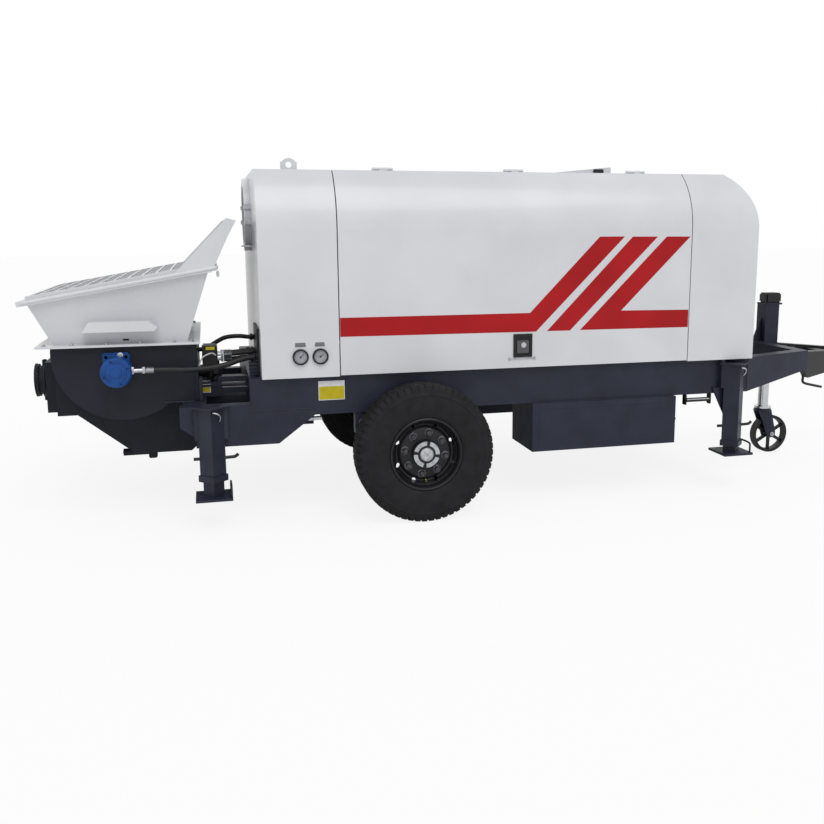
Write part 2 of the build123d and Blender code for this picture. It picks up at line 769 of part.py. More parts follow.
put("tow_bar", tow_bar())
eye_x = eye_reach - eye_radius
eye_z = bar_pin_z - 35
eye = rod_z(eye_radius, eye_z - 22, eye_z + 22, eye_x, 0) - rod_z(
    eye_hole, eye_z - 23, eye_z + 23, eye_x, 0)
eye += box(eye_reach - 2 * eye_radius, eye_x - eye_radius + 20, -50, 50, eye_z - 22, eye_z + 22)
put("tow_eye", eye)
pin_set = rod_y(15, -bar_half - 64, -bar_half + 64, bar_pin_x, bar_pin_z)
put("tow_pins", pair(pin_set))

os.makedirs("parts", exist_ok=True)
for name, shape in nodes.items():
    export_step(shape, f"parts/{name}.step")
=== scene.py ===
import bpy, bmesh, json, math
from mathutils import Matrix, Vector


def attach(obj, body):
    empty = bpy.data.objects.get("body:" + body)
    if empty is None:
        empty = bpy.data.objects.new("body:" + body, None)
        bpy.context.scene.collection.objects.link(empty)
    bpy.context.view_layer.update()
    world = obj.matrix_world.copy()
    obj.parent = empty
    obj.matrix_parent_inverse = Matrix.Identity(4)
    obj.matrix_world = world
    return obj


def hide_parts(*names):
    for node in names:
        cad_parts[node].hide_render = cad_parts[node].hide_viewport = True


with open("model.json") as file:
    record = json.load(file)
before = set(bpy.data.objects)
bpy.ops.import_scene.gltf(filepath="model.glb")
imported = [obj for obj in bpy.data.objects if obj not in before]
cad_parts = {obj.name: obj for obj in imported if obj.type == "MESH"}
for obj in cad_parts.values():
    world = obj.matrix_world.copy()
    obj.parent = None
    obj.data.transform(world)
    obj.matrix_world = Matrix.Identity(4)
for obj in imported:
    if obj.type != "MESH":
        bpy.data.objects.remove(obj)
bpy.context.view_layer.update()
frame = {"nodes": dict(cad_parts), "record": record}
nodes = frame["nodes"]
print("frame loaded,", len(nodes), "CAD nodes")

# Places along X below are measured from the axle, in metres, and moved by this much.
middleX = -0.755


def place(x, y, z):
    return Vector((x + middleX, y, z))


# Camera, solved from the edges of the canopy, frame and wheels

photoView = {
    "eye": (-1.167, -5.893, 1.663),   # from the axle
    "yaw": 0.254, "pitch": 0.173, "roll": -0.004,
    "focalPixels": 912.1, "centrePixel": (445.0, 388.6), "imagePixels": 824,
}


def addCamera(v):
    cy, sy = math.cos(v["yaw"]), math.sin(v["yaw"])
    cp, sp = math.cos(v["pitch"]), math.sin(v["pitch"])
    ahead = Vector((sy * cp, cy * cp, -sp))
    right = Vector((cy, -sy, 0))
    upward = right.cross(ahead)
    tilt = v["roll"]
    right, upward = (right * math.cos(tilt) + upward * math.sin(tilt),
                     upward * math.cos(tilt) - right * math.sin(tilt))
    data = bpy.data.cameras.new("photoCamera")
    size = v["imagePixels"]
    data.lens = 36 * v["focalPixels"] / size
    data.shift_x = (size / 2 - v["centrePixel"][0]) / size
    data.shift_y = (v["centrePixel"][1] - size / 2) / size
    camera = bpy.data.objects.new("photoCamera", data)
    turn = Matrix((right, upward, -ahead)).transposed().to_4x4()
    camera.matrix_world = Matrix.Translation(place(*v["eye"])) @ turn
    bpy.context.collection.objects.link(camera)
    bpy.context.scene.camera = camera


addCamera(photoView)

# Colours and material nodes


def colour(code):   # sRGB hex to linear
    parts = [int(code[i:i + 2], 16) / 255 for i in (1, 3, 5)]
    return tuple(c / 12.92 if c <= 0.04045 else ((c + 0.055) / 1.055) ** 2.4
                 for c in parts) + (1,)


def addNode(owner, kind, settings=None, links=None, stops=None):
    node = owner.node_tree.nodes.new(kind)
    for key, value in (settings or {}).items():
        if key in node.inputs:
            node.inputs[key].default_value = value
        else:
            setattr(node, key, value)
    for key, output in (links or {}).items():
        owner.node_tree.links.new(output, node.inputs[key])
    for element, (at, code) in zip(node.color_ramp.elements if stops else (), stops or ()):
        element.position = at
        element.color = colour(code)
    return node


def startMaterial(name):
    material = bpy.data.materials.new(name)
    material.use_nodes = True
    material.node_tree.nodes.clear()
    coords = addNode(material, "ShaderNodeTexCoord")
    return material, {"Vector": coords.outputs["Object"]}


def finishMaterial(material, shader):
    addNode(material, "ShaderNodeOutputMaterial", links={"Surface": shader.outputs["BSDF"]})
    return material


def mm(size):   # scale of a pattern whose marks are this many millimetres across
    return 1000 / size


# White polyester enamel sprayed on sheet steel: clean, fairly glossy, a faint orange peel
m, at = startMaterial("sprayedWhiteEnamel")
drift = addNode(m, "ShaderNodeTexNoise", {"Scale": mm(420), "Detail": 4}, at)
tone = addNode(m, "ShaderNodeValToRGB", links={"Fac": drift.outputs["Fac"]},
               stops=((0.35, "#cbccd1"), (0.65, "#d2d3d7")))
wiped = addNode(m, "ShaderNodeTexNoise", {"Scale": mm(260), "Detail": 3}, at)
gloss = addNode(m, "ShaderNodeMapRange", {"To Min": 0.28, "To Max": 0.4},
                {"Value": wiped.outputs["Fac"]})
peel = addNode(m, "ShaderNodeTexNoise", {"Scale": mm(6)}, at)   # 1 to 2 mm on the real sheet
dents = addNode(m, "ShaderNodeBump", {"Strength": 0.2, "Distance": 0.00025},
                {"Height": peel.outputs["Fac"]})
shader = addNode(m, "ShaderNodeBsdfPrincipled",
                 {"Coat Weight": 0.25, "Coat Roughness": 0.15, "Specular IOR Level": 0.4},
                 {"Base Color": tone.outputs["Color"], "Roughness": gloss.outputs["Result"],
                  "Normal": dents.outputs["Normal"]})
sprayedWhiteEnamel = finishMaterial(m, shader)

# Red enamel stripes masked and sprayed over the white
m, at = startMaterial("maskedRedEnamel")
drift = addNode(m, "ShaderNodeTexNoise", {"Scale": mm(300), "Detail": 4}, at)
tone = addNode(m, "ShaderNodeValToRGB", links={"Fac": drift.outputs["Fac"]},
               stops=((0.35, "#9c0c12"), (0.65, "#a81016")))
wiped = addNode(m, "ShaderNodeTexNoise", {"Scale": mm(200), "Detail": 3}, at)
gloss = addNode(m, "ShaderNodeMapRange", {"To Min": 0.36, "To Max": 0.46},
                {"Value": wiped.outputs["Fac"]})
shader = addNode(m, "ShaderNodeBsdfPrincipled", {"Specular IOR Level": 0.22},
                 {"Base Color": tone.outputs["Color"], "Roughness": gloss.outputs["Result"]})
maskedRedEnamel = finishMaterial(m, shader)

# Slate blue-grey chassis enamel sprayed on rolled steel: satin, uneven, rubbed in places
m, at = startMaterial("slateChassisEnamel")
drift = addNode(m, "ShaderNodeTexNoise", {"Scale": mm(160), "Detail": 5}, at)
tone = addNode(m, "ShaderNodeValToRGB", links={"Fac": drift.outputs["Fac"]},
               stops=((0.35, "#1d2030"), (0.65, "#252938")))
wiped = addNode(m, "ShaderNodeTexNoise", {"Scale": mm(90), "Detail": 3}, at)
gloss = addNode(m, "ShaderNodeMapRange", {"To Min": 0.36, "To Max": 0.54},
                {"Value": wiped.outputs["Fac"]})
grain = addNode(m, "ShaderNodeTexNoise", {"Scale": mm(14), "Detail": 6}, at)
dents = addNode(m, "ShaderNodeBump", {"Strength": 0.35, "Distance": 0.0006},
                {"Height": grain.outputs["Fac"]})
shader = addNode(m, "ShaderNodeBsdfPrincipled", {"Specular IOR Level": 0.28},
                 {"Base Color": tone.outputs["Color"], "Roughness": gloss.outputs["Result"],
                  "Normal": dents.outputs["Normal"]})
slateChassisEnamel = finishMaterial(m, shader)

# Darker slate of the trough and its housing, splashed and washed down many times
m, at = startMaterial("washedTroughEnamel")
drift = addNode(m, "ShaderNodeTexNoise", {"Scale": mm(220), "Detail": 6}, at)
tone = addNode(m, "ShaderNodeValToRGB", links={"Fac": drift.outputs["Fac"]},
               stops=((0.35, "#14161f"), (0.65, "#1b1e29")))
wiped = addNode(m, "ShaderNodeTexNoise", {"Scale": mm(70), "Detail": 4}, at)
gloss = addNode(m, "ShaderNodeMapRange", {"To Min": 0.42, "To Max": 0.64},
                {"Value": wiped.outputs["Fac"]})
grain = addNode(m, "ShaderNodeTexNoise", {"Scale": mm(12), "Detail": 6}, at)
dents = addNode(m, "ShaderNodeBump", {"Strength": 0.4, "Distance": 0.0008},
                {"Height": grain.outputs["Fac"]})
shader = addNode(m, "ShaderNodeBsdfPrincipled", {"Specular IOR Level": 0.25},
                 {"Base Color": tone.outputs["Color"], "Roughness": gloss.outputs["Result"],
                  "Normal": dents.outputs["Normal"]})
washedTroughEnamel = finishMaterial(m, shader)

# Black satin enamel on wheel discs, drawbar and brackets
m, at = startMaterial("satinBlackEnamel")
drift = addNode(m, "ShaderNodeTexNoise", {"Scale": mm(120), "Detail": 4}, at)
tone = addNode(m, "ShaderNodeValToRGB", links={"Fac": drift.outputs["Fac"]},
               stops=((0.35, "#101014"), (0.65, "#19191e")))
wiped = addNode(m, "ShaderNodeTexNoise", {"Scale": mm(60), "Detail": 3}, at)
gloss = addNode(m, "ShaderNodeMapRange", {"To Min": 0.34, "To Max": 0.5},
                {"Value": wiped.outputs["Fac"]})
shader = addNode(m, "ShaderNodeBsdfPrincipled", {"Specular IOR Level": 0.35},
                 {"Base Color": tone.outputs["Color"], "Roughness": gloss.outputs["Result"]})
satinBlackEnamel = finishMaterial(m, shader)

# Carbon black tyre rubber, moulded: matt, with a grey bloom in patches and fine pores
m, at = startMaterial("mouldedTyreRubber")
drift = addNode(m, "ShaderNodeTexNoise", {"Scale": mm(70), "Detail": 6}, at)
tone = addNode(m, "ShaderNodeValToRGB", links={"Fac": drift.outputs["Fac"]},
               stops=((0.35, "#0f0e11"), (0.65, "#19181b")))
wiped = addNode(m, "ShaderNodeTexNoise", {"Scale": mm(40), "Detail": 3}, at)
gloss = addNode(m, "ShaderNodeMapRange", {"To Min": 0.66, "To Max": 0.88},
                {"Value": wiped.outputs["Fac"]})
pores = addNode(m, "ShaderNodeTexNoise", {"Scale": mm(4), "Detail": 4}, at)
dents = addNode(m, "ShaderNodeBump", {"Strength": 0.4, "Distance": 0.0005},
                {"Height": pores.outputs["Fac"]})
shader = addNode(m, "ShaderNodeBsdfPrincipled", {"Specular IOR Level": 0.3},
                 {"Base Color": tone.outputs["Color"], "Roughness": gloss.outputs["Result"],
                  "Normal": dents.outputs["Normal"]})
mouldedTyreRubber = finishMaterial(m, shader)

# Blue enamel on a cast hydraulic motor, its casting skin showing through
m, at = startMaterial("blueMotorEnamel")
drift = addNode(m, "ShaderNodeTexNoise", {"Scale": mm(60), "Detail": 4}, at)
tone = addNode(m, "ShaderNodeValToRGB", links={"Fac": drift.outputs["Fac"]},
               stops=((0.35, "#0c3a78"), (0.65, "#12478c")))
castSkin = addNode(m, "ShaderNodeTexNoise", {"Scale": mm(5), "Detail": 5}, at)
dents = addNode(m, "ShaderNodeBump", {"Strength": 0.5, "Distance": 0.0007},
                {"Height": castSkin.outputs["Fac"]})
shader = addNode(m, "ShaderNodeBsdfPrincipled", {"Roughness": 0.44, "Specular IOR Level": 0.3},
                 {"Base Color": tone.outputs["Color"], "Normal": dents.outputs["Normal"]})
blueMotorEnamel = finishMaterial(m, shader)

# Sand-cast iron, as cast and oiled: dark, grainy
m, at = startMaterial("sandCastIron")
drift = addNode(m, "ShaderNodeTexNoise", {"Scale": mm(45), "Detail": 6}, at)
tone = addNode(m, "ShaderNodeValToRGB", links={"Fac": drift.outputs["Fac"]},
               stops=((0.35, "#2c2c2f"), (0.65, "#404042")))
sand = addNode(m, "ShaderNodeTexNoise", {"Scale": mm(3), "Detail": 6}, at)
dents = addNode(m, "ShaderNodeBump", {"Strength": 0.6, "Distance": 0.0008},
                {"Height": sand.outputs["Fac"]})
shader = addNode(m, "ShaderNodeBsdfPrincipled", {"Metallic": 0.75, "Roughness": 0.6},
                 {"Base Color": tone.outputs["Color"], "Normal": dents.outputs["Normal"]})
sandCastIron = finishMaterial(m, shader)

# Zinc-plated steel on bolts, fittings and pins: bright, slightly cloudy
m, at = startMaterial("zincPlatedSteel")
drift = addNode(m, "ShaderNodeTexNoise", {"Scale": mm(18), "Detail": 4}, at)
tone = addNode(m, "ShaderNodeValToRGB", links={"Fac": drift.outputs["Fac"]},
               stops=((0.35, "#a5a9ae"), (0.65, "#c6c8cb")))
wiped = addNode(m, "ShaderNodeTexNoise", {"Scale": mm(10), "Detail": 3}, at)
gloss = addNode(m, "ShaderNodeMapRange", {"To Min": 0.24, "To Max": 0.42},
                {"Value": wiped.outputs["Fac"]})
shader = addNode(m, "ShaderNodeBsdfPrincipled", {"Metallic": 1.0},
                 {"Base Color": tone.outputs["Color"], "Roughness": gloss.outputs["Result"]})
zincPlatedSteel = finishMaterial(m, shader)

# Black phosphated steel of wheel nuts, oiled
m, at = startMaterial("phosphatedSteel")
drift = addNode(m, "ShaderNodeTexNoise", {"Scale": mm(12), "Detail": 4}, at)
tone = addNode(m, "ShaderNodeValToRGB", links={"Fac": drift.outputs["Fac"]},
               stops=((0.35, "#3c3c40"), (0.65, "#5c5c60")))
shader = addNode(m, "ShaderNodeBsdfPrincipled", {"Metallic": 1.0, "Roughness": 0.34},
                 {"Base Color": tone.outputs["Color"]})
phosphatedSteel = finishMaterial(m, shader)

# Hard chrome on piston rods and gauge bezels
m, at = startMaterial("hardChrome")
wiped = addNode(m, "ShaderNodeTexNoise", {"Scale": mm(25), "Detail": 3}, at)
tone = addNode(m, "ShaderNodeValToRGB", links={"Fac": wiped.outputs["Fac"]},
               stops=((0.35, "#c4c6c8"), (0.65, "#d0d1d3")))
gloss = addNode(m, "ShaderNodeMapRange", {"To Min": 0.08, "To Max": 0.2},
                {"Value": wiped.outputs["Fac"]})
shader = addNode(m, "ShaderNodeBsdfPrincipled", {"Metallic": 1.0},
                 {"Base Color": tone.outputs["Color"], "Roughness": gloss.outputs["Result"]})
hardChrome = finishMaterial(m, shader)

# Brass of the tyre valve, dulled
m, at = startMaterial("dulledBrass")
drift = addNode(m, "ShaderNodeTexNoise", {"Scale": mm(6), "Detail": 3}, at)
tone = addNode(m, "ShaderNodeValToRGB", links={"Fac": drift.outputs["Fac"]},
               stops=((0.35, "#a08432"), (0.65, "#c4a648")))
shader = addNode(m, "ShaderNodeBsdfPrincipled", {"Metallic": 1.0, "Roughness": 0.36},
                 {"Base Color": tone.outputs["Color"]})
dulledBrass = finishMaterial(m, shader)

# Braided hydraulic hose with a black rubber cover, its wrap marks 3 mm apart
m, at = startMaterial("wrappedHoseRubber")
drift = addNode(m, "ShaderNodeTexNoise", {"Scale": mm(50), "Detail": 4}, at)
tone = addNode(m, "ShaderNodeValToRGB", links={"Fac": drift.outputs["Fac"]},
               stops=((0.35, "#0f0f11"), (0.65, "#1a1a1d")))
wrap = addNode(m, "ShaderNodeTexWave", {"Scale": mm(3) / 6.3, "Distortion": 1.5}, at)
dents = addNode(m, "ShaderNodeBump", {"Strength": 0.3, "Distance": 0.0003},
                {"Height": wrap.outputs["Fac"]})
shader = addNode(m, "ShaderNodeBsdfPrincipled", {"Roughness": 0.5, "Specular IOR Level": 0.35},
                 {"Base Color": tone.outputs["Color"], "Normal": dents.outputs["Normal"]})
wrappedHoseRubber = finishMaterial(m, shader)

# Moulded glass-filled nylon of latches, gauge rims and control box
m, at = startMaterial("mouldedNylon")
nylonGrain = addNode(m, "ShaderNodeTexVoronoi", {"Scale": mm(3)}, at)
tone = addNode(m, "ShaderNodeValToRGB", links={"Fac": nylonGrain.outputs["Distance"]},
               stops=((0.2, "#0c0c0e"), (0.8, "#131315")))
dents = addNode(m, "ShaderNodeBump", {"Strength": 0.3, "Distance": 0.0002},
                {"Height": nylonGrain.outputs["Distance"]})
shader = addNode(m, "ShaderNodeBsdfPrincipled", {"Roughness": 0.48, "Specular IOR Level": 0.35},
                 {"Base Color": tone.outputs["Color"], "Normal": dents.outputs["Normal"]})
mouldedNylon = finishMaterial(m, shader)

# Grey die-cast paddle of the door latches, powder coated
m, at = startMaterial("powderCoatedPaddle")
powder = addNode(m, "ShaderNodeTexNoise", {"Scale": mm(2.5), "Detail": 4}, at)
tone = addNode(m, "ShaderNodeValToRGB", links={"Fac": powder.outputs["Fac"]},
               stops=((0.35, "#464447"), (0.65, "#545255")))
dents = addNode(m, "ShaderNodeBump", {"Strength": 0.35, "Distance": 0.0002},
                {"Height": powder.outputs["Fac"]})
shader = addNode(m, "ShaderNodeBsdfPrincipled", {"Roughness": 0.5, "Specular IOR Level": 0.4},
                 {"Base Color": tone.outputs["Color"], "Normal": dents.outputs["Normal"]})
powderCoatedPaddle = finishMaterial(m, shader)

# Silver-grey dial card behind glass, a little darker towards one side
m, at = startMaterial("greyDialCard")
drift = addNode(m, "ShaderNodeTexNoise", {"Scale": mm(30), "Detail": 3}, at)
tone = addNode(m, "ShaderNodeValToRGB", links={"Fac": drift.outputs["Fac"]},
               stops=((0.35, "#858891"), (0.65, "#9b9da3")))
shader = addNode(m, "ShaderNodeBsdfPrincipled", {"Roughness": 0.3, "Coat Weight": 0.6},
                 {"Base Color": tone.outputs["Color"]})
greyDialCard = finishMaterial(m, shader)

# Grey vinyl film of the blank strips over the gauges
m, at = startMaterial("greyVinylFilm")
drift = addNode(m, "ShaderNodeTexNoise", {"Scale": mm(25), "Detail": 3}, at)
tone = addNode(m, "ShaderNodeValToRGB", links={"Fac": drift.outputs["Fac"]},
               stops=((0.35, "#61636c"), (0.65, "#6f7075")))
shader = addNode(m, "ShaderNodeBsdfPrincipled", {"Roughness": 0.45},
                 {"Base Color": tone.outputs["Color"]})
greyVinylFilm = finishMaterial(m, shader)

# Yellow vinyl film of the blank plates
m, at = startMaterial("yellowVinylFilm")
drift = addNode(m, "ShaderNodeTexNoise", {"Scale": mm(40), "Detail": 3}, at)
tone = addNode(m, "ShaderNodeValToRGB", links={"Fac": drift.outputs["Fac"]},
               stops=((0.35, "#b0a00a"), (0.65, "#beae12")))
shader = addNode(m, "ShaderNodeBsdfPrincipled", {"Roughness": 0.42, "Specular IOR Level": 0.3},
                 {"Base Color": tone.outputs["Color"]})
yellowVinylFilm = finishMaterial(m, shader)

# White vinyl film of the blank plates, faintly soiled
m, at = startMaterial("whiteVinylFilm")
drift = addNode(m, "ShaderNodeTexNoise", {"Scale": mm(30), "Detail": 4}, at)
tone = addNode(m, "ShaderNodeValToRGB", links={"Fac": drift.outputs["Fac"]},
               stops=((0.35, "#c9c7cc"), (0.65, "#d6d5d8")))
shader = addNode(m, "ShaderNodeBsdfPrincipled", {"Roughness": 0.42},
                 {"Base Color": tone.outputs["Color"]})
whiteVinylFilm = finishMaterial(m, shader)

# Grey enamel on the engine casting, with a film of oil dust
m, at = startMaterial("engineGreyEnamel")
drift = addNode(m, "ShaderNodeTexNoise", {"Scale": mm(80), "Detail": 5}, at)
tone = addNode(m, "ShaderNodeValToRGB", links={"Fac": drift.outputs["Fac"]},
               stops=((0.35, "#3c3f42"), (0.65, "#505356")))
shader = addNode(m, "ShaderNodeBsdfPrincipled", {"Roughness": 0.55},
                 {"Base Color": tone.outputs["Color"]})
engineGreyEnamel = finishMaterial(m, shader)

# Black coated radiator core, its fins 4 mm apart; its colour is banded with them, darker between
# the fins as painted shade and lighter on their edges as painted highlight
m, at = startMaterial("finnedCoolerCore")
finsAndPaintedShade = addNode(m, "ShaderNodeTexWave", {"Scale": mm(4) / 6.3, "bands_direction": "Z"}, at)
# painted shade between the fins and painted highlight on their edges, set in the colour by the fin
# bands
tone = addNode(m, "ShaderNodeValToRGB", links={"Fac": finsAndPaintedShade.outputs["Fac"]},
               stops=((0.3, "#08080a"), (0.7, "#1c1c20")))
dents = addNode(m, "ShaderNodeBump", {"Strength": 0.6, "Distance": 0.001},
                {"Height": finsAndPaintedShade.outputs["Fac"]})
shader = addNode(m, "ShaderNodeBsdfPrincipled", {"Metallic": 0.4, "Roughness": 0.5},
                 {"Base Color": tone.outputs["Color"], "Normal": dents.outputs["Normal"]})
finnedCoolerCore = finishMaterial(m, shader)

cadFinishes = {
    "white_paint": sprayedWhiteEnamel, "frame_paint": slateChassisEnamel,
    "black_paint": satinBlackEnamel, "motor_paint": blueMotorEnamel, "steel": hardChrome,
    "cast_iron": sandCastIron, "tyre": mouldedTyreRubber, "hose": wrappedHoseRubber,
    "black_plastic": mouldedNylon, "engine": engineGreyEnamel, "gauge": hardChrome,
}
ownFinishes = {   # nodes whose finish differs from the rest of their slot
    "hopper_trough": washedTroughEnamel, "outlet_pipe": washedTroughEnamel,
    "cleanout_door": washedTroughEnamel, "radiator": finnedCoolerCore,
    "cooler_cowl": sprayedWhiteEnamel, "hopper_grille": sprayedWhiteEnamel,
}
for part in frame["record"]["subparts"]:
    cadNode = nodes[part["node"]]
    cadNode.data.materials.clear()
    finish = ownFinishes.get(part["node"], cadFinishes[part["material_slot"]])
    cadNode.data.materials.append(finish)
print("materials made")

# Mesh helpers

outwards = (0, -1, 0)   # away from the near side

def addPiece(name, mesh, material, body, *standsFor):
    piece = bpy.data.objects.new(name, mesh)
    bpy.context.collection.objects.link(piece)
    mesh.materials.append(material)
    mesh.polygons.foreach_set("use_smooth", [True] * len(mesh.polygons))
    mesh.set_sharp_from_angle(angle=math.radians(32))
    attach(piece, body)
    if standsFor:
        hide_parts(*standsFor)
    return piece


def addBoth(name, mesh, material, nearBody, farBody):   # a piece and its mirror image
    addPiece(name + "Near", mesh, material, nearBody)
    addPiece(name + "Far", mirroredMesh(mesh, name + "Far"), material, farBody)


def meshFrom(name, points, faces):
    mesh = bpy.data.meshes.new(name)
    mesh.from_pydata([tuple(p) for p in points], [], faces)
    mesh.validate()
    work = bmesh.new()
    work.from_mesh(mesh)
    bmesh.ops.recalc_face_normals(work, faces=work.faces)
    work.to_mesh(mesh)
    work.free()
    mesh.update()
    return mesh


def turned(name, profile, centre, axis, steps=72, ring=False):   # (radius, along) about a line
    axis = Vector(axis).normalized()
    side = axis.orthogonal().normalized()
    other = axis.cross(side)
    points, faces = [], []
    for radius, along in profile:
        for k in range(steps):
            turn = 2 * math.pi * k / steps
            points.append(Vector(centre) + axis * along
                          + (side * math.cos(turn) + other * math.sin(turn)) * max(radius, 1e-5))
    rings = len(profile)
    for i in range(rings if ring else rings - 1):
        j = (i + 1) % rings
        for k in range(steps):
            n = (k + 1) % steps
            faces.append((i * steps + k, i * steps + n, j * steps + n, j * steps + k))
    if not ring:
        faces.append(tuple(range(steps)))
        faces.append(tuple((rings - 1) * steps + k for k in range(steps)))
    return meshFrom(name, points, faces)


def sheetPlate(name, outline, origin, across, upward, thickness):   # flat plate from an outline
    across, upward = Vector(across), Vector(upward)
    out = across.cross(upward).normalized()
    count = len(outline)
    back = [Vector(origin) + across * a + upward * b for a, b in outline]
    points = back + [p + out * thickness for p in back]
    faces = [tuple(range(count)), tuple(range(count, 2 * count))]
    faces += [(i, (i + 1) % count, count + (i + 1) % count, count + i) for i in range(count)]
    return meshFrom(name, points, faces)


def softBlock(name, x0, x1, y0, y1, z0, z1, edge=0.003):   # block with rounded edges
    mesh = bpy.data.meshes.new(name)
    work = bmesh.new()
    bmesh.ops.create_cube(work, size=1)
    middle = place((x0 + x1) / 2, (y0 + y1) / 2, (z0 + z1) / 2)
    for vertex in work.verts:
        vertex.co = middle + Vector((vertex.co.x * (x1 - x0), vertex.co.y * (y1 - y0),
                                     vertex.co.z * (z1 - z0)))
    bmesh.ops.bevel(work, geom=work.edges[:], offset=edge, segments=2, affect="EDGES")
    work.to_mesh(mesh)
    work.free()
    return mesh


def joined(name, meshes):
    work = bmesh.new()
    for mesh in meshes:
        work.from_mesh(mesh)
    result = bpy.data.meshes.new(name)
    work.to_mesh(result)
    work.free()
    return result


def mirroredMesh(mesh, name):
    work = bmesh.new()
    work.from_mesh(mesh)
    for vertex in work.verts:
        vertex.co.y = -vertex.co.y
    bmesh.ops.reverse_faces(work, faces=work.faces)
    result = bpy.data.meshes.new(name)
    work.to_mesh(result)
    work.free()
    return result


def cutBy(mesh, cutters):   # exact boolean difference
    solid = bpy.data.objects.new(mesh.name, mesh)
    tool = bpy.data.objects.new("cutter", joined("cutter", cutters))
    for item in (solid, tool):
        bpy.context.collection.objects.link(item)
    step = solid.modifiers.new("cut", "BOOLEAN")
    step.object = tool
    step.solver = "EXACT"
    result = bpy.data.meshes.new_from_object(solid.evaluated_get(
        bpy.context.evaluated_depsgraph_get()))
    result.name = mesh.name
    for item in (solid, tool):
        bpy.data.objects.remove(item)
    return result


def roundedRectangle(width, height, radius, steps=6):
    corners = ((1, 1, 0), (-1, 1, 90), (-1, -1, 180), (1, -1, 270))
    return [(sx * (width / 2 - radius) + radius * math.cos(math.radians(start + 90 * k / steps)),
             sz * (height / 2 - radius) + radius * math.sin(math.radians(start + 90 * k / steps)))
            for sx, sz, start in corners for k in range(steps + 1)]


def hexHead(centre, out, size):   # hexagon on its washer; size is the distance across flats
    washer = turned("washer", [(0, 0), (size * 0.85, 0), (size * 0.85, size * 0.1),
                               (size * 0.8, size * 0.13), (0, size * 0.13)], centre, out, 20)
    head = turned("head", [(0, size * 0.13), (size * 0.577, size * 0.13),
                           (size * 0.577, size * 0.66), (size * 0.5, size * 0.75),
                           (0, size * 0.75)], centre, out, 6)
    return [washer, head]


def boltSet(name, places, out, size):
    return joined(name, [mesh for spot in places for mesh in hexHead(spot, out, size)])


def blockSet(name, rows):   # each row is x0, x1, y0, y1, z0, z1 and the edge's radius
    return joined(name, [softBlock("block", *row) for row in rows])


def smoothLine(name, points, radius, material, body, closed=False):   # round bar or hose
    data = bpy.data.curves.new(name, "CURVE")
    data.dimensions = "3D"
    data.bevel_depth = radius
    data.bevel_resolution = 5
    data.use_fill_caps = True
    line = data.splines.new("NURBS")
    line.points.add(len(points) - 1)
    for spot, point in zip(line.points, points):
        spot.co = (*point, 1)
    line.use_cyclic_u = closed
    line.use_endpoint_u = not closed
    line.order_u = 3
    line.resolution_u = 10
    data.materials.append(material)
    piece = bpy.data.objects.new(name, data)
    bpy.context.collection.objects.link(piece)
    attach(piece, body)
    return piece


def smoothBoth(name, points, radius, material, nearBody, farBody):   # a line and its mirror
    smoothLine(name + "Near", points, radius, material, nearBody)
    smoothLine(name + "Far", [Vector((p.x, -p.y, p.z)) for p in points], radius, material,
               farBody)


# Floor, sky and lamps

studio = {
    "floorTone": "#f7f7f6", "floorHalf": 60, "skyLevel": 0.62, "floorGlow": 0.86,
    "keyLevel": 1.25, "keyAngle": 40, "keyTurn": (38, -8, 20),
}


def addStudio(s):
    bpy.context.scene.view_settings.view_transform = "Standard"
    world = bpy.data.worlds.new("paleSky")
    bpy.context.scene.world = world
    world.use_nodes = True
    world.node_tree.nodes.clear()
    paths = addNode(world, "ShaderNodeLightPath")
    seen = addNode(world, "ShaderNodeMath", {"operation": "MAXIMUM"})
    world.node_tree.links.new(paths.outputs["Is Camera Ray"], seen.inputs[0])
    world.node_tree.links.new(paths.outputs["Is Transmission Ray"], seen.inputs[1])
    either = addNode(world, "ShaderNodeMath", {"operation": "MAXIMUM"})
    world.node_tree.links.new(seen.outputs["Value"], either.inputs[0])
    world.node_tree.links.new(paths.outputs["Is Glossy Ray"], either.inputs[1])
    lightTone = addNode(world, "ShaderNodeBackground",
                        {"Color": (1, 1, 1, 1), "Strength": s["skyLevel"]})
    shownTone = addNode(world, "ShaderNodeBackground", {"Color": (1, 1, 1, 1), "Strength": 1.0})
    blend = addNode(world, "ShaderNodeMixShader", links={"Fac": either.outputs["Value"]})
    world.node_tree.links.new(lightTone.outputs["Background"], blend.inputs[1])
    world.node_tree.links.new(shownTone.outputs["Background"], blend.inputs[2])
    addNode(world, "ShaderNodeOutputWorld", links={"Surface": blend.outputs["Shader"]})

    lamp = bpy.data.lights.new("softKey", "SUN")
    lamp.energy = s["keyLevel"]
    lamp.angle = math.radians(s["keyAngle"])
    key = bpy.data.objects.new("softKey", lamp)
    key.rotation_euler = [math.radians(a) for a in s["keyTurn"]]
    bpy.context.collection.objects.link(key)

    half = s["floorHalf"]
    mesh = meshFrom("paleFloor", [(-half, -half, 0), (half, -half, 0), (half, half, 0),
                                  (-half, half, 0)], [(0, 1, 2, 3)])
    floor = bpy.data.objects.new("paleFloor", mesh)
    bpy.context.collection.objects.link(floor)
    paper, _ = startMaterial("paperBackdrop")
    matt = addNode(paper, "ShaderNodeBsdfDiffuse", {"Color": colour(s["floorTone"])})
    glow = addNode(paper, "ShaderNodeEmission", {"Color": (1, 1, 1, 1), "Strength": 1.0})
    paths = addNode(paper, "ShaderNodeLightPath")
    share = addNode(paper, "ShaderNodeMath", {"operation": "MULTIPLY"})
    paper.node_tree.links.new(paths.outputs["Is Camera Ray"], share.inputs[0])
    share.inputs[1].default_value = s["floorGlow"]
    blend = addNode(paper, "ShaderNodeMixShader", links={"Fac": share.outputs["Value"]})
    paper.node_tree.links.new(matt.outputs["BSDF"], blend.inputs[1])
    paper.node_tree.links.new(glow.outputs["Emission"], blend.inputs[2])
    addNode(paper, "ShaderNodeOutputMaterial", links={"Surface": blend.outputs["Shader"]})
    mesh.materials.append(paper)


addStudio(studio)
print("floor and lamps set")

# Stripes masked and sprayed on both doors

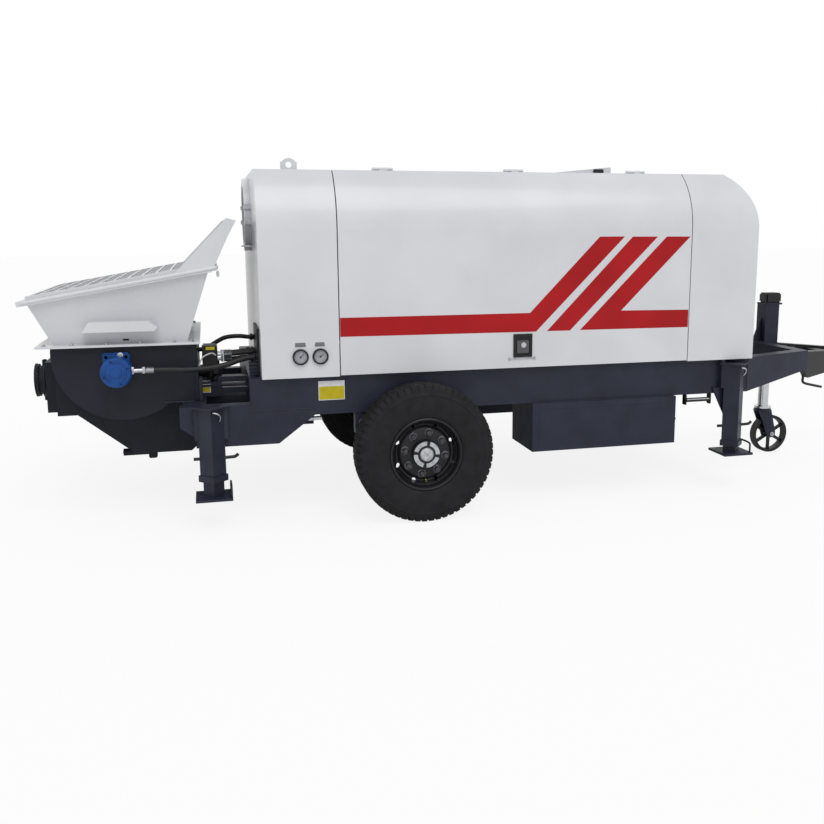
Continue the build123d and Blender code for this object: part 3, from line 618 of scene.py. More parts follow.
stripes = {
    "proud": 0.0006, "side": 0.800,
    "bands": (   # outlines in (x from the axle, z)
        ((-0.452, 1.175), (0.677, 1.173), (1.112, 1.616), (1.274, 1.616), (0.716, 1.061),
         (-0.452, 1.068)),
        ((0.785, 1.062), (1.326, 1.615), (1.491, 1.614), (0.932, 1.061)),
        ((0.997, 1.062), (1.551, 1.614), (1.710, 1.613), (1.262, 1.172), (1.716, 1.166),
         (1.716, 1.058)),
    ),
}
for number, band in enumerate(stripes["bands"]):
    mesh = sheetPlate(f"stripe{number}", band, place(0, -stripes["side"], 0), (1, 0, 0),
                      (0, 0, 1), stripes["proud"])
    addBoth(f"stripe{number}", mesh, maskedRedEnamel, "door_near", "door_far")
print("stripes laid")

# Road wheels: tyres with three zig-zag grooves and cut shoulders, dished discs, nuts

tyre = {
    "middleY": 0.895, "axleZ": 0.400, "pitches": 60, "zigzag": 0.006,
    "grooves": (-0.045, 0.0, 0.045), "grooveHalf": 0.0042, "grooveFloor": 0.391,
    "crown": 0.3994, "cutDepth": 0.008,
    "flank": ((0.085, 0.2135), (0.091, 0.219), (0.098, 0.238), (0.1035, 0.268), (0.1047, 0.300),
              (0.1035, 0.324), (0.1015, 0.340), (0.1030, 0.3425), (0.1030, 0.3475),
              (0.1010, 0.350), (0.098, 0.368), (0.095, 0.376), (0.0915, 0.386),
              (0.086, 0.394), (0.078, 0.398)),
    "cutFrom": 11,   # flank points from here on are cut between the lugs
}


def treadedTyre(t):
    across = [(-a, r, False, i >= t["cutFrom"]) for i, (a, r) in enumerate(t["flank"])]
    for groove in t["grooves"]:
        for side in (-1, 1):
            lip = (groove + side * (t["grooveHalf"] + 0.001), t["crown"], True, False)
            floor = (groove + side * t["grooveHalf"], t["grooveFloor"], True, False)
            across += [lip, floor] if side < 0 else [floor, lip]
    across += [(-a, r, z, c) for a, r, z, c in reversed(across[:len(t["flank"])])]
    steps = ((0, 0), (0.06, 1), (0.26, 1), (0.32, 0), (0.5, 0), (0.68, 0), (0.84, 0))
    centre = place(0, -t["middleY"], t["axleZ"])
    points, faces = [], []
    for pitch in range(t["pitches"]):
        for part, cut in steps:
            turn = 2 * math.pi * (pitch + part) / t["pitches"]
            sway = t["zigzag"] * (1 - 4 * abs(part - 0.5))
            for a, r, swaying, shoulder in across:
                radius = r - (t["cutDepth"] if cut and shoulder else 0)
                points.append(centre + Vector((radius * math.cos(turn),
                                               a + (sway if swaying else 0),
                                               radius * math.sin(turn))))
    rows, width = t["pitches"] * len(steps), len(across)
    for i in range(rows):
        j = (i + 1) % rows
        for k in range(width):
            n = (k + 1) % width
            faces.append((i * width + k, i * width + n, j * width + n, j * width + k))
    return meshFrom("treadedTyre", points, faces)


rim = {   # profiles are (radius, across from the wheel's middle), outwards negative
    "well": ((0.193, -0.078), (0.196, -0.084), (0.200, -0.089), (0.206, -0.091),
             (0.211, -0.088), (0.2125, -0.082), (0.2125, 0.082), (0.211, 0.088),
             (0.206, 0.091), (0.200, 0.089), (0.196, 0.084), (0.193, 0.078), (0.188, 0.060),
             (0.188, -0.060)),
    "disc": ((0.190, -0.052), (0.186, -0.056), (0.182, -0.052), (0.168, -0.028),
             (0.160, -0.026), (0.146, -0.040), (0.140, -0.043), (0.060, -0.043),
             (0.060, -0.031), (0.138, -0.031), (0.162, -0.014), (0.170, -0.016),
             (0.190, -0.036)),
    "hub": ((0, -0.084), (0.050, -0.084), (0.053, -0.080), (0.078, -0.080), (0.080, -0.076),
            (0.080, -0.040), (0.062, -0.036), (0.062, 0.060), (0.034, 0.060), (0.034, 0.030),
            (0, 0.030)),
    "cap": ((0, -0.0945), (0.005, -0.0945), (0.008, -0.0985), (0.026, -0.0995),
            (0.035, -0.097), (0.040, -0.091), (0.040, -0.083), (0, -0.083)),
    "handHoles": 8, "handHoleRing": 0.172, "handHole": 0.0135,
    "lockRing": (0.052, 0.076), "lockFace": -0.0865, "notches": (80, 350, 260, 170),
    "notchWidth": 16, "nutRing": 0.120, "nutSize": 0.030, "nutFace": -0.043,
    "valveRing": 0.152,
}


def wheelPoint(radius, degrees, across):
    turn = math.radians(degrees)
    return place(radius * math.cos(turn), across - tyre["middleY"],
                 tyre["axleZ"] + radius * math.sin(turn))


def ringSector(inner, outer, startDegrees, endDegrees, back, front):
    count = 12
    points, faces = [], []
    for k in range(count + 1):
        degrees = startDegrees + (endDegrees - startDegrees) * k / count
        points += [wheelPoint(inner, degrees, back), wheelPoint(outer, degrees, back),
                   wheelPoint(outer, degrees, front), wheelPoint(inner, degrees, front)]
    for k in range(count):
        for i in range(4):
            n = (i + 1) % 4
            faces.append((4 * k + i, 4 * k + n, 4 * k + 4 + n, 4 * k + 4 + i))
    faces += [(0, 1, 2, 3), tuple(4 * count + i for i in range(4))]
    return meshFrom("ringSector", points, faces)


def addWheelTrim(r):
    centre = place(0, -tyre["middleY"], tyre["axleZ"])
    disc = turned("disc", r["disc"], centre, (0, 1, 0), 96, ring=True)
    holes = [turned("handHole", [(r["handHole"], -0.09), (r["handHole"], 0.03)],
                    wheelPoint(r["handHoleRing"], 22.5 + 360 * k / r["handHoles"], 0),
                    (0, 1, 0), 20) for k in range(r["handHoles"])]
    dark = joined("wheelDisc", [
        turned("well", r["well"], centre, (0, 1, 0), 96, ring=True), cutBy(disc, holes),
        turned("hub", r["hub"], centre, (0, 1, 0), 64)])
    bright = [turned("cap", r["cap"], centre, (0, 1, 0), 48)]
    inner, outer = r["lockRing"]
    places = sorted(a % 360 for a in r["notches"])
    for start, end in zip(places, places[1:] + [places[0] + 360]):
        bright.append(ringSector(inner, outer, start + r["notchWidth"] / 2,
                                 end - r["notchWidth"] / 2, -0.078, r["lockFace"]))
    nuts = boltSet("wheelNuts", [wheelPoint(r["nutRing"], 35 + 45 * k, r["nutFace"])
                                 for k in range(8)], outwards, r["nutSize"])
    stem = turned("valveStem", [(0, 0), (0.0055, 0), (0.0055, 0.020), (0.004, 0.022),
                                (0.004, 0.034), (0, 0.034)],
                  wheelPoint(r["valveRing"], -90, -0.036), (0, -1, -0.25), 16)
    for name, mesh, material, node in (
            ("treadedTyre", treadedTyre(tyre), mouldedTyreRubber, "tyre"),
            ("wheelDisc", dark, satinBlackEnamel, "rim"),
            ("hubCap", joined("hubCap", bright), zincPlatedSteel, None),
            ("wheelNuts", nuts, phosphatedSteel, None),
            ("valveStem", stem, dulledBrass, None)):
        for side, made in (("near", mesh), ("far", mirroredMesh(mesh, name + "Far"))):
            standsFor = (f"{node}_{side}",) if node else ()
            addPiece(name + side.capitalize(), made, material, f"wheel_{side}", *standsFor)


addWheelTrim(rim)
print("wheels dressed")

# Gauges: dark rims, grey dials with ticks and a needle, blank strips above

gauge = {
    "centres": ((-0.678, 0.962), (-0.567, 0.962)), "side": 0.800,
    "rim": ((0.0, 0), (0.045, 0), (0.045, 0.012), (0.042, 0.0175), (0.037, 0.0175),
            (0.0355, 0.012), (0.0355, 0.009), (0, 0.009)),
    "dialRadius": 0.0352, "dialBack": 0.0085, "dialFace": 0.0095, "markFace": 0.0097,
    "ticks": 26, "tickSweep": 270, "longEvery": 5, "tickEnd": 0.033, "tickThick": 0.0003,
    "longTick": (0.026, 0.0016), "shortTick": (0.029, 0.0009),   # start and width
    "needle": (-0.008, 0.024, 0.0034, 0.0016), "needleTurn": (48, 40),
    "boss": ((0, 0), (0.005, 0), (0.004, 0.003), (0, 0.003)),
    "strips": ((-0.6775, 0.063), (-0.569, 0.058)),   # middle and width
    "stripLow": 1.018, "stripHigh": 1.042, "stripSlant": 0.004, "stripThick": 0.0006,
}


def dialBar(face, degrees, start, end, width, thick):   # bar that tapers outwards
    turn = math.radians(degrees)
    along = Vector((math.cos(turn), 0, math.sin(turn)))
    outline = [(start, -width / 2), (end, -width / 3), (end, width / 3), (start, width / 2)]
    return sheetPlate("bar", outline, face, along, (-along.z, 0, along.x), thick)


def addGauges(g):
    rims, dials, marks, strips = [], [], [], []
    for (x, z), needleTurn, (stripX, width) in zip(g["centres"], g["needleTurn"], g["strips"]):
        centre = place(x, -g["side"], z)
        rims.append(turned("rim", g["rim"], centre, outwards, 64))
        dials.append(turned("dial", [
            (0, g["dialBack"]), (g["dialRadius"], g["dialBack"]),
            (g["dialRadius"], g["dialFace"]), (0, g["dialFace"])], centre, outwards, 48))
        face = centre + Vector((0, -g["markFace"], 0))
        for k in range(g["ticks"] + 1):
            start, thickness = g["shortTick" if k % g["longEvery"] else "longTick"]
            degrees = 90 - g["tickSweep"] / 2 + g["tickSweep"] * k / g["ticks"]
            marks.append(dialBar(face, degrees, start, g["tickEnd"], thickness, g["tickThick"]))
        marks.append(dialBar(face, needleTurn, *g["needle"]))
        marks.append(turned("boss", g["boss"], face, outwards, 20))
        low, high = width / 2, width / 2 - g["stripSlant"]
        strips.append(sheetPlate("strip", [
            (stripX - low, g["stripLow"]), (stripX + low, g["stripLow"]),
            (stripX + high, g["stripHigh"]), (stripX - high, g["stripHigh"])],
            place(0, -g["side"], 0), (1, 0, 0), (0, 0, 1), g["stripThick"]))
    addPiece("gaugeRims", joined("gaugeRims", rims), mouldedNylon, "chassis", "gauges")
    addPiece("gaugeDials", joined("gaugeDials", dials), greyDialCard, "chassis")
    addPiece("gaugeMarks", joined("gaugeMarks", marks), mouldedNylon, "chassis")
    addPiece("gaugeStrips", joined("gaugeStrips", strips), greyVinylFilm, "chassis")


addGauges(gauge)


# Door latches: grey paddle in the black box, and the drip bar under it

latch = {
    "paddlePlace": (0.633, -0.803, 0.974), "paddle": (0.074, 0.076, 0.008),
    "paddleThick": 0.0042, "gripPlace": (0.637, -0.807, 0.984),
    "grip": ((0, 0), (0.017, 0), (0.016, 0.0018), (0, 0.003)),
    "dripBar": ((0.553, 0.708, -0.806, -0.800, 0.900, 0.906, 0.001),
                (0.546, 0.559, -0.808, -0.800, 0.895, 0.909, 0.002),
                (0.702, 0.715, -0.808, -0.800, 0.897, 0.911, 0.002)),
}


def addLatches(s):
    paddle = sheetPlate("paddle", roundedRectangle(*s["paddle"]), place(*s["paddlePlace"]),
                        (1, 0, 0), (0, 0, 1), s["paddleThick"])
    grip = turned("grip", s["grip"], place(*s["gripPlace"]), outwards, 28)
    addBoth("latchPaddle", paddle, powderCoatedPaddle, "door_near", "door_far")
    addBoth("latchGrip", grip, zincPlatedSteel, "door_near", "door_far")
    addBoth("latchDripBar", blockSet("dripBar", s["dripBar"]), zincPlatedSteel, "door_near",
            "door_far")


addLatches(latch)

# Blank plates on the near rail and on the valve's bracket

plates = {   # x0, x1, z0, z1, the face they lie on, and how high the yellow reaches
    "railPlate": (-0.579, -0.429, 0.703, 0.814, -0.760, 0.782),
    "valvePlate": (-1.226, -1.172, 0.728, 0.778, -0.4625, 0.758),
}
plateThick, printThick, plateBorder = 0.0005, 0.0003, 0.004
for name, (x0, x1, z0, z1, face, split) in plates.items():
    inner = (x0 + plateBorder, x1 - plateBorder, z0 + plateBorder, split)
    for layer, (a, b, c, d), lift, thick, film in (
            ("White", (x0, x1, z0, z1), 0, plateThick, whiteVinylFilm),
            ("Yellow", inner, plateThick, printThick, yellowVinylFilm)):
        mesh = sheetPlate(name + layer, [(a, c), (b, c), (b, d), (a, d)],
                          place(0, face - lift, 0), (1, 0, 0), (0, 0, 1), thick)
        addPiece(name + layer, mesh, film, "chassis")
print("gauges, latches and plates fitted")

# Tilted lid on the roof: a thin-walled wedge, open to the front

lid = {
    "rear": 0.812, "front": 1.445, "half": 0.200, "roofZ": 1.995, "topZ": 2.0595,
    "lip": 0.004, "flat": 0.010, "sheet": 0.006, "solidRear": 0.120,
    "stay": ((1.330, 1.995), (1.400, 1.995), (1.400, 2.050)), "stayY": -0.046,
    "stayThick": 0.006, "knob": (1.32, 1.39, -0.214, -0.200, 2.020, 2.046, 0.004),
}


def addLid(s):
    under, flat = s["topZ"] - s["sheet"], s["flat"]
    outer = [(s["rear"], s["roofZ"] + s["lip"]), (s["rear"], s["roofZ"]),
             (s["front"], s["roofZ"]), (s["front"], s["topZ"]), (s["front"] - flat, s["topZ"])]
    hollow = [(s["rear"] + s["solidRear"], s["roofZ"] - flat),
              (s["front"] + flat, s["roofZ"] - flat), (s["front"] + flat, under),
              (s["front"] - flat, under)]
    inside = s["half"] - s["sheet"]
    body = sheetPlate("lid", outer, place(0, s["half"], 0), (1, 0, 0), (0, 0, 1), 2 * s["half"])
    room = sheetPlate("room", hollow, place(0, inside, 0), (1, 0, 0), (0, 0, 1), 2 * inside)
    addPiece("roofLid", cutBy(body, [room]), sprayedWhiteEnamel, "chassis", "roof_cowl")
    gusset = sheetPlate("gusset", s["stay"], place(0, s["stayY"], 0), (1, 0, 0), (0, 0, 1),
                        s["stayThick"])
    stay = joined("lidStay", [gusset, softBlock("knob", *s["knob"])])
    addPiece("lidStay", stay, satinBlackEnamel, "chassis")


addLid(lid)

# Clips and a wing latch round the cowl on the rear wall, and hooks on the hopper's rim

rearCatches = {
    "cowlClips": [(-0.934, -0.893, y - 0.011, y + 0.011, z - 0.014, z + 0.014, 0.003)
                  for y, z in ((-0.222, 1.800), (-0.228, 1.710), (0.222, 1.800), (0.228, 1.710))],
    "wingLatch": ((-0.940, -0.893, -0.150, -0.136, 1.560, 1.574, 0.003),
                  (-0.952, -0.940, -0.168, -0.118, 1.562, 1.572, 0.003)),
    "rimHook": ((-1.112, -1.096, -0.622, -0.598, 1.405, 1.440, 0.004),
                (-1.112, -1.096, 0.598, 0.622, 1.405, 1.440, 0.004)),
}
for name, rows in rearCatches.items():
    addPiece(name, blockSet(name, rows), zincPlatedSteel, "chassis")

# Hopper: rolled edge round the rim, bolts through the flange, seal under it

hopper = {
    "rimRear": (-2.135, 1.281), "rimFront": (-1.113, 1.458), "rimHalf": 0.634,
    "rimRadius": 0.0125, "cornerReach": 0.03,
    "boltX": (-2.045, -1.90, -1.72, -1.54, -1.36, -1.262), "boltSide": 0.567,
    "flangeTop": 1.042, "boltSize": 0.016,
    "sealSide": (0.559, 0.572), "sealX": (-2.004, -1.236), "sealZ": (1.010, 1.0295),
    # the slot below is a thin dark sheet on the ledge, painted shade standing for the dark inside
    # of the slot
    "slot": (0.034, 0.010, 0.0045), "slotPlace": (-1.618, -0.5385, 1.062),
    "slotUp": (0, -0.3, 0.95), "slotShadeSheetThick": 0.001,
}


def addHopperTrim(s):
    (x0, z0), (x1, z1) = s["rimRear"], s["rimFront"]
    half, reach = s["rimHalf"], s["cornerReach"]
    corners = [place(*c) for c in ((x0, -half, z0), (x1, -half, z1), (x1, half, z1),
                                   (x0, half, z0))]
    points = []
    for i, here in enumerate(corners):
        before = corners[i - 1] - here
        after = corners[(i + 1) % 4] - here
        points += [here + before.normalized() * reach, here, here + after.normalized() * reach]
    smoothLine("rolledRim", points, s["rimRadius"], sprayedWhiteEnamel, "chassis", closed=True)
    bolts = boltSet("flangeBolts", [place(x, side * s["boltSide"], s["flangeTop"])
                                    for side in (-1, 1) for x in s["boltX"]], (0, 0, 1),
                    s["boltSize"])
    addPiece("flangeBolts", bolts, zincPlatedSteel, "chassis")
    inner, outer = s["sealSide"]
    seal = blockSet("troughTrim", [(*s["sealX"], low, high, *s["sealZ"], 0.003)
                                   for low, high in ((-outer, -inner), (inner, outer))])
    addPiece("troughTrim", seal, washedTroughEnamel, "chassis")
    # dark sheet where the ledge's slot opens: painted shade, not a cut
    slot = sheetPlate("ledgeSlotShadeSheet", roundedRectangle(*s["slot"]), place(*s["slotPlace"]),
                      (1, 0, 0), s["slotUp"], s["slotShadeSheetThick"])
    addPiece("ledgeSlotShadeSheet", slot, mouldedNylon, "chassis")


addHopperTrim(hopper)

# Plates and gussets in front of the trough, and the brackets on them

troughFront = {
    "bulkhead": (-1.252, -1.239, -0.560, 0.560, 0.702, 0.930, 0.001),
    "gap": (-1.30, -1.20, -0.290, 0.290, 0.60, 0.895, 0.001),
    "corner": ((-1.434, 0.702), (-1.240, 0.702), (-1.240, 0.926), (-1.290, 0.926)),
    "cornerSide": 0.549, "cornerThick": 0.012,
    "edgeBar": (-1.258, -1.240, -0.573, -0.560, 0.702, 0.900),
    "brackets": ((-1.240, -1.125, -0.500, -0.360, 0.868, 0.880, 0.002),   # shelves
                 (-1.240, -1.104, -0.470, -0.290, 0.763, 0.775, 0.002),
                 (-1.240, -1.110, -0.462, -0.450, 0.702, 0.790, 0.002),   # label plate
                 (-1.130, -0.958, -0.455, -0.415, 0.787, 0.817, 0.004),   # tie bars
                 (-1.130, -0.958, -0.455, -0.415, 0.722, 0.752, 0.004),
                 (-1.236, -1.216, -0.590, -0.560, 0.700, 0.840, 0.004)),  # leg
}


def addTroughFront(s):
    bulkhead = cutBy(softBlock("bulkhead", *s["bulkhead"]), [softBlock("gap", *s["gap"])])
    corner = sheetPlate("corner", s["corner"], place(0, -s["cornerSide"], 0), (1, 0, 0),
                        (0, 0, 1), s["cornerThick"])
    edgeBar = softBlock("edgeBar", *s["edgeBar"])
    front = joined("troughFront", [bulkhead, corner, mirroredMesh(corner, "corner"), edgeBar,
                                   mirroredMesh(edgeBar, "edgeBar")])
    addPiece("troughFront", front, washedTroughEnamel, "chassis")
    addPiece("frontBrackets", blockSet("frontBrackets", s["brackets"]), slateChassisEnamel,
             "chassis")


addTroughFront(troughFront)

# Control box and valve on their brackets, clamps and panel at the canopy's rear wall

controls = {
    "box": (-1.212, -1.125, -0.500, -0.360, 0.880, 1.006, 0.008),
    "strip": (0.050, 0.018, 0.003), "stripPlace": (-1.165, -0.500, 0.992),
    "stripThick": 0.0006,
    "valve": (-1.172, -1.104, -0.350, -0.290, 0.775, 0.865, 0.004),
    "solenoid": ((0, 0), (0.024, 0), (0.024, 0.026), (0.020, 0.030), (0, 0.030)),
    "solenoidPlace": (-1.138, -0.320, 0.865),
    "coil": ((0, 0), (0.022, 0), (0.022, 0.05), (0.016, 0.056), (0, 0.056)),
    "coilPlaces": ((-1.138, -0.350, 0.797), (-1.138, -0.350, 0.842)),
    "clampX": (-0.953, -0.905), "clampY": (-0.640, -0.572), "clampThick": 0.017,
    "clampZ": (0.843, 0.863, 0.883, 0.903),
    "clampPost": (-0.944, -0.914, -0.630, -0.582, 0.843, 0.918, 0.001),
    "panel": (-0.9065, -0.892, -0.650, -0.270, 0.849, 1.112, 0.003),
}


def addControls(s):
    addPiece("controlBox", softBlock("controlBox", *s["box"]), mouldedNylon, "chassis")
    strip = sheetPlate("boxStrip", roundedRectangle(*s["strip"]), place(*s["stripPlace"]),
                       (1, 0, 0), (0, 0, 1), s["stripThick"])
    addPiece("boxStrip", strip, yellowVinylFilm, "chassis")
    valve = [softBlock("block", *s["valve"]),
             turned("solenoid", s["solenoid"], place(*s["solenoidPlace"]), (0, 0, 1), 32)]
    valve += [turned("coil", s["coil"], place(*spot), outwards, 32) for spot in s["coilPlaces"]]
    addPiece("valveBlock", joined("valveBlock", valve), satinBlackEnamel, "chassis")
    clamps = [(*s["clampX"], *s["clampY"], z, z + s["clampThick"], 0.003) for z in s["clampZ"]]
    addPiece("hoseClamps", blockSet("hoseClamps", clamps + [s["clampPost"]]),
             slateChassisEnamel, "chassis")
    addPiece("hosePanel", softBlock("hosePanel", *s["panel"]), mouldedNylon, "chassis")


addControls(controls)

# Hoses from motor, control box and trough to the panel on the rear wall

hoses = {   # thickness and route, measured from the axle
    "motorHose": (0.032, ((-1.508, -0.630, 0.898), (-1.400, -0.630, 0.898),
                          (-1.280, -0.642, 0.891), (-1.110, -0.638, 0.901),
                          (-1.000, -0.618, 0.938), (-0.950, -0.608, 0.946),
                          (-0.905, -0.608, 0.946))),
    "returnHose": (0.026, ((-1.238, -0.300, 0.962), (-1.196, -0.300, 0.962),
                           (-1.120, -0.300, 1.010), (-1.070, -0.300, 1.034),
                           (-0.985, -0.300, 1.037), (-0.940, -0.300, 1.028),
                           (-0.905, -0.300, 1.028))),
}
for number, (y, z) in enumerate(((-0.392, 0.952), (-0.426, 0.918), (-0.460, 0.950)), 1):
    hoses[f"valveHose{number}"] = (0.026, ((-1.080, y, z), (-1.030, y, z),
                                           (-0.960, y, z + 0.008), (-0.905, y, z + 0.008)))
fitting = {
    "ribs": 12, "ribPitch": 0.004, "ribHigh": 0.004, "ribLow": 0.0015, "ferruleLength": 0.046,
    "ferruleBack": 0.010, "nutBack": 0.026, "nutLength": 0.014, "nutOver": 0.005,
    "pipeBack": 0.050, "pipeLength": 0.03, "pipeShare": 0.7,
    "unionLength": 0.024, "unionOver": (0.009, 0.004), "unionStep": (0.010, 0.014),
    "motorPipePlace": (-1.606, -0.630, 0.898), "motorPipe": (0.013, 0.070),
    "motorNutForward": 0.006, "motorNut": (0.023, 0.022),
    "thinPipe": ((-1.236, -0.530, 0.880), (-1.222, -0.530, 0.935), (-1.190, -0.522, 0.958),
                 (-1.150, -0.508, 0.968), (-1.135, -0.499, 0.950)), "thinRadius": 0.004,
}


def roundBar(radius, length, start, steps):   # bar along x; six steps make a hexagon
    profile = [(0, 0), (radius, 0), (radius, length), (0, length)]
    return turned("bar", profile, start, (1, 0, 0), steps)


def addHoses(routes, s):
    ferrules, unions = [], []
    for name, (thickness, route) in routes.items():
        points = [place(*point) for point in route]
        r = thickness / 2
        smoothLine(name, points, r, wrappedHoseRubber, "chassis")
        ribs = [(r + s["ribHigh" if k % 2 else "ribLow"], s["ribPitch"] * k)
                for k in range(s["ribs"])]
        if name != "returnHose":
            ferrules.append(turned("ferrule", [(0, 0), *ribs, (0, s["ferruleLength"])],
                                   points[0] - Vector((s["ferruleBack"], 0, 0)), (1, 0, 0), 28))
            ferrules.append(roundBar(r + s["nutOver"], s["nutLength"],
                                     points[0] - Vector((s["nutBack"], 0, 0)), 6))
            ferrules.append(roundBar(r * s["pipeShare"], s["pipeLength"],
                                     points[0] - Vector((s["pipeBack"], 0, 0)), 24))
        (wide, narrow), (a, b), end = s["unionOver"], s["unionStep"], s["unionLength"]
        unions.append(turned("union", [(0, 0), (r + wide, 0), (r + wide, a), (r + narrow, b),
                                       (r + narrow, end), (0, end)],
                             points[-1] - Vector((end, 0, 0)), (1, 0, 0), 6))
    start = place(*s["motorPipePlace"])
    ferrules += [roundBar(*s["motorPipe"], start, 24),
                 roundBar(*s["motorNut"], start + Vector((s["motorNutForward"], 0, 0)), 6)]
    addPiece("hoseFerrules", joined("hoseFerrules", ferrules), zincPlatedSteel, "chassis")
    addPiece("hoseUnions", joined("hoseUnions", unions), satinBlackEnamel, "chassis")
    smoothLine("thinPipe", [place(*p) for p in s["thinPipe"]], s["thinRadius"], whiteVinylFilm,
               "chassis")


addHoses(hoses, fitting)
print("hopper front and hoses fitted")

# Agitator motor: round cover with a chamfer and slots, a bracket with two ears above

motor = {
    "x": -1.670, "z": 0.895, "back": 0.560,
    "cover": ((0, 0), (0.080, 0), (0.083, 0.004), (0.083, 0.088), (0.080, 0.094),
              (0.083, 0.098), (0.083, 0.110), (0.074, 0.119), (0.058, 0.120),
              (0.056, 0.117), (0.030, 0.117), (0.028, 0.120), (0, 0.120)),
    "slots": (20, 110, 200, 290), "slotRing": 0.066, "slotOut": 0.125, "slot": (0.008, 0.012),
    "ears": (-1.745, -1.600, -0.590, -0.560, 0.930, 0.996, 0.008),
    "earHoleIn": 0.02, "earHoleY": -0.580, "earHoleZ": 0.972, "earHole": (0.010, -0.02, 0.05),
    "bolt": (-1.649, -0.590, 0.982), "boltSize": 0.018,
}


def addMotor(s):
    face = place(s["x"], -s["back"], s["z"])
    radius, depth = s["slot"]
    slots = []
    for degrees in s["slots"]:
        turn = math.radians(degrees)
        spot = face + Vector((s["slotRing"] * math.cos(turn), -s["slotOut"],
                              s["slotRing"] * math.sin(turn)))
        slots.append(turned("slot", [(0, 0), (radius, 0), (radius, depth), (0, depth)], spot,
                            (0, 1, 0), 14))
    cover = cutBy(turned("cover", s["cover"], face, outwards, 64), slots)
    hole, start, end = s["earHole"]
    earHoles = [turned("hole", [(0, start), (hole, start), (hole, end), (0, end)],
                       place(x, s["earHoleY"], s["earHoleZ"]), outwards, 18)
                for x in (s["ears"][0] + s["earHoleIn"], s["ears"][1] - s["earHoleIn"])]
    ears = cutBy(softBlock("ears", *s["ears"]), earHoles)
    addPiece("motorCover", joined("motorCover", [cover, ears]), blueMotorEnamel, "chassis",
             "agitator_motor")
    bolts = boltSet("motorBolts", [place(*s["bolt"])], outwards, s["boltSize"])
    addPiece("motorBolts", bolts, zincPlatedSteel, "chassis")


addMotor(motor)

# Outlet: clamp lugs and seal groove, bolts on the box and the bearing cap; clean-out handle

outlet = {
    "lugX": (-2.148, -2.126), "lugY": (-0.022, 0.022), "z": 0.774, "lugMiddle": 0.111,
    "lugHalf": 0.013, "lugEdge": 0.003, "mouthX": -2.186,
    "groove": ((0.086, -0.002), (0.101, -0.002), (0.101, 0.006), (0.086, 0.006)),
    "boxBolts": [(-2.040, y, z) for y in (-0.145, 0.145) for z in (0.625, 0.875)],
    "boxBoltSize": 0.024, "capMiddle": (-1.670, 0.620, 0.895), "capRing": 0.062,
    "capBolts": 6, "capBoltSize": 0.016,
    "handle": ((0, 0), (0.020, 0), (0.022, 0.003), (0.022, 0.158), (0, 0.162)),
    "handlePlace": (-1.550, -0.120, 0.322),
    "handleBlock": (-1.560, -1.510, -0.150, -0.090, 0.280, 0.336, 0.005),
}


def addOutletTrim(s):
    lugs = [softBlock("lug", *s["lugX"], *s["lugY"], s["z"] + side * s["lugMiddle"] - s["lugHalf"],
                      s["z"] + side * s["lugMiddle"] + s["lugHalf"], s["lugEdge"])
            for side in (-1, 1)]
    groove = turned("groove", s["groove"], place(s["mouthX"], 0, s["z"]), (1, 0, 0), 64,
                    ring=True)
    addPiece("outletClamp", joined("outletClamp", [*lugs, groove]), washedTroughEnamel,
             "chassis")
    boxBolts = boltSet("boxBolts", [place(*spot) for spot in s["boxBolts"]], (-1, 0, 0),
                       s["boxBoltSize"])
    x, y, z = s["capMiddle"]
    turns = [2 * math.pi * k / s["capBolts"] for k in range(s["capBolts"])]
    capBolts = boltSet("capBolts", [place(x + s["capRing"] * math.cos(a), y,
                                          z + s["capRing"] * math.sin(a)) for a in turns],
                       (0, 1, 0), s["capBoltSize"])
    addPiece("outletBolts", joined("outletBolts", [boxBolts, capBolts]), zincPlatedSteel,
             "chassis")
    handle = joined("cleanoutHandle", [
        turned("sleeve", s["handle"], place(*s["handlePlace"]), (-1, 0, 0), 28),
        softBlock("block", *s["handleBlock"])])
    addPiece("cleanoutHandle", handle, washedTroughEnamel, "cleanout")


addOutletTrim(outlet)
print("motor and outlet dressed")

# Leg sleeves: cap plates, eyes, locking pins; loops on the feet

legs = {
    "rear": (-1.180, 0.700, 0.190), "front": (2.060, 0.813, 0.235),   # x, top and foot
    "side": 0.800, "pinZ": 0.415, "pinRadius": 0.009, "eyeRadius": 0.005, "loopRadius": 0.006,
    "cap": ((-0.106, 0), (0, -0.106), (0.106, 0), (0.066, 0.040), (-0.066, 0.040)),
    "capThick": 0.008,
    "eye": ((0.012, -0.066, -0.018), (0.034, -0.072, -0.020), (0.056, -0.048, -0.045),
            (0.046, -0.030, -0.072)),   # from the sleeve's top
    "pin": ((-0.102, 0), (-0.055, 0)),
    "lever": ((0.060, 0), (0.112, 0), (0.128, 0.004), (0.140, 0.016)),
    "loopForward": 0.094, "loopBase": 0.012,
    "loop": ((-0.072, 0), (-0.072, 0.040), (-0.072, 0.052), (-0.060, 0.062), (0.060, 0.062),
             (0.072, 0.052), (0.072, 0.040), (0.072, 0)),
}


def addLegTrim(s, name):
    x, top, foot = s[name]
    side, base = s["side"], foot + s["loopBase"]
    cap = sheetPlate("cap", s["cap"], place(x, -side, top), (1, 0, 0), (0, 1, 0), s["capThick"])
    addBoth(name + "LegCap", cap, slateChassisEnamel, "chassis", "chassis")
    eye = [place(x + a, b - side, top + c) for a, b, c in s["eye"]]
    smoothBoth(name + "LegEye", eye, s["eyeRadius"], zincPlatedSteel, "chassis", "chassis")
    for part in ("pin", "lever"):
        bar = [place(x + a, -side, s["pinZ"] + c) for a, c in s[part]]
        smoothBoth(name + "Leg" + part.capitalize(), bar, s["pinRadius"], satinBlackEnamel,
                   "chassis", "chassis")
    loop = [place(x + s["loopForward"], -side - y, base + z) for y, z in s["loop"]]
    smoothBoth(name + "FootLoop", loop, s["loopRadius"], slateChassisEnamel,
               f"leg_{name}_near", f"leg_{name}_far")


addLegTrim(legs, "rear")
addLegTrim(legs, "front")

# Gussets, step bar, seams, springs and bolts on the frame

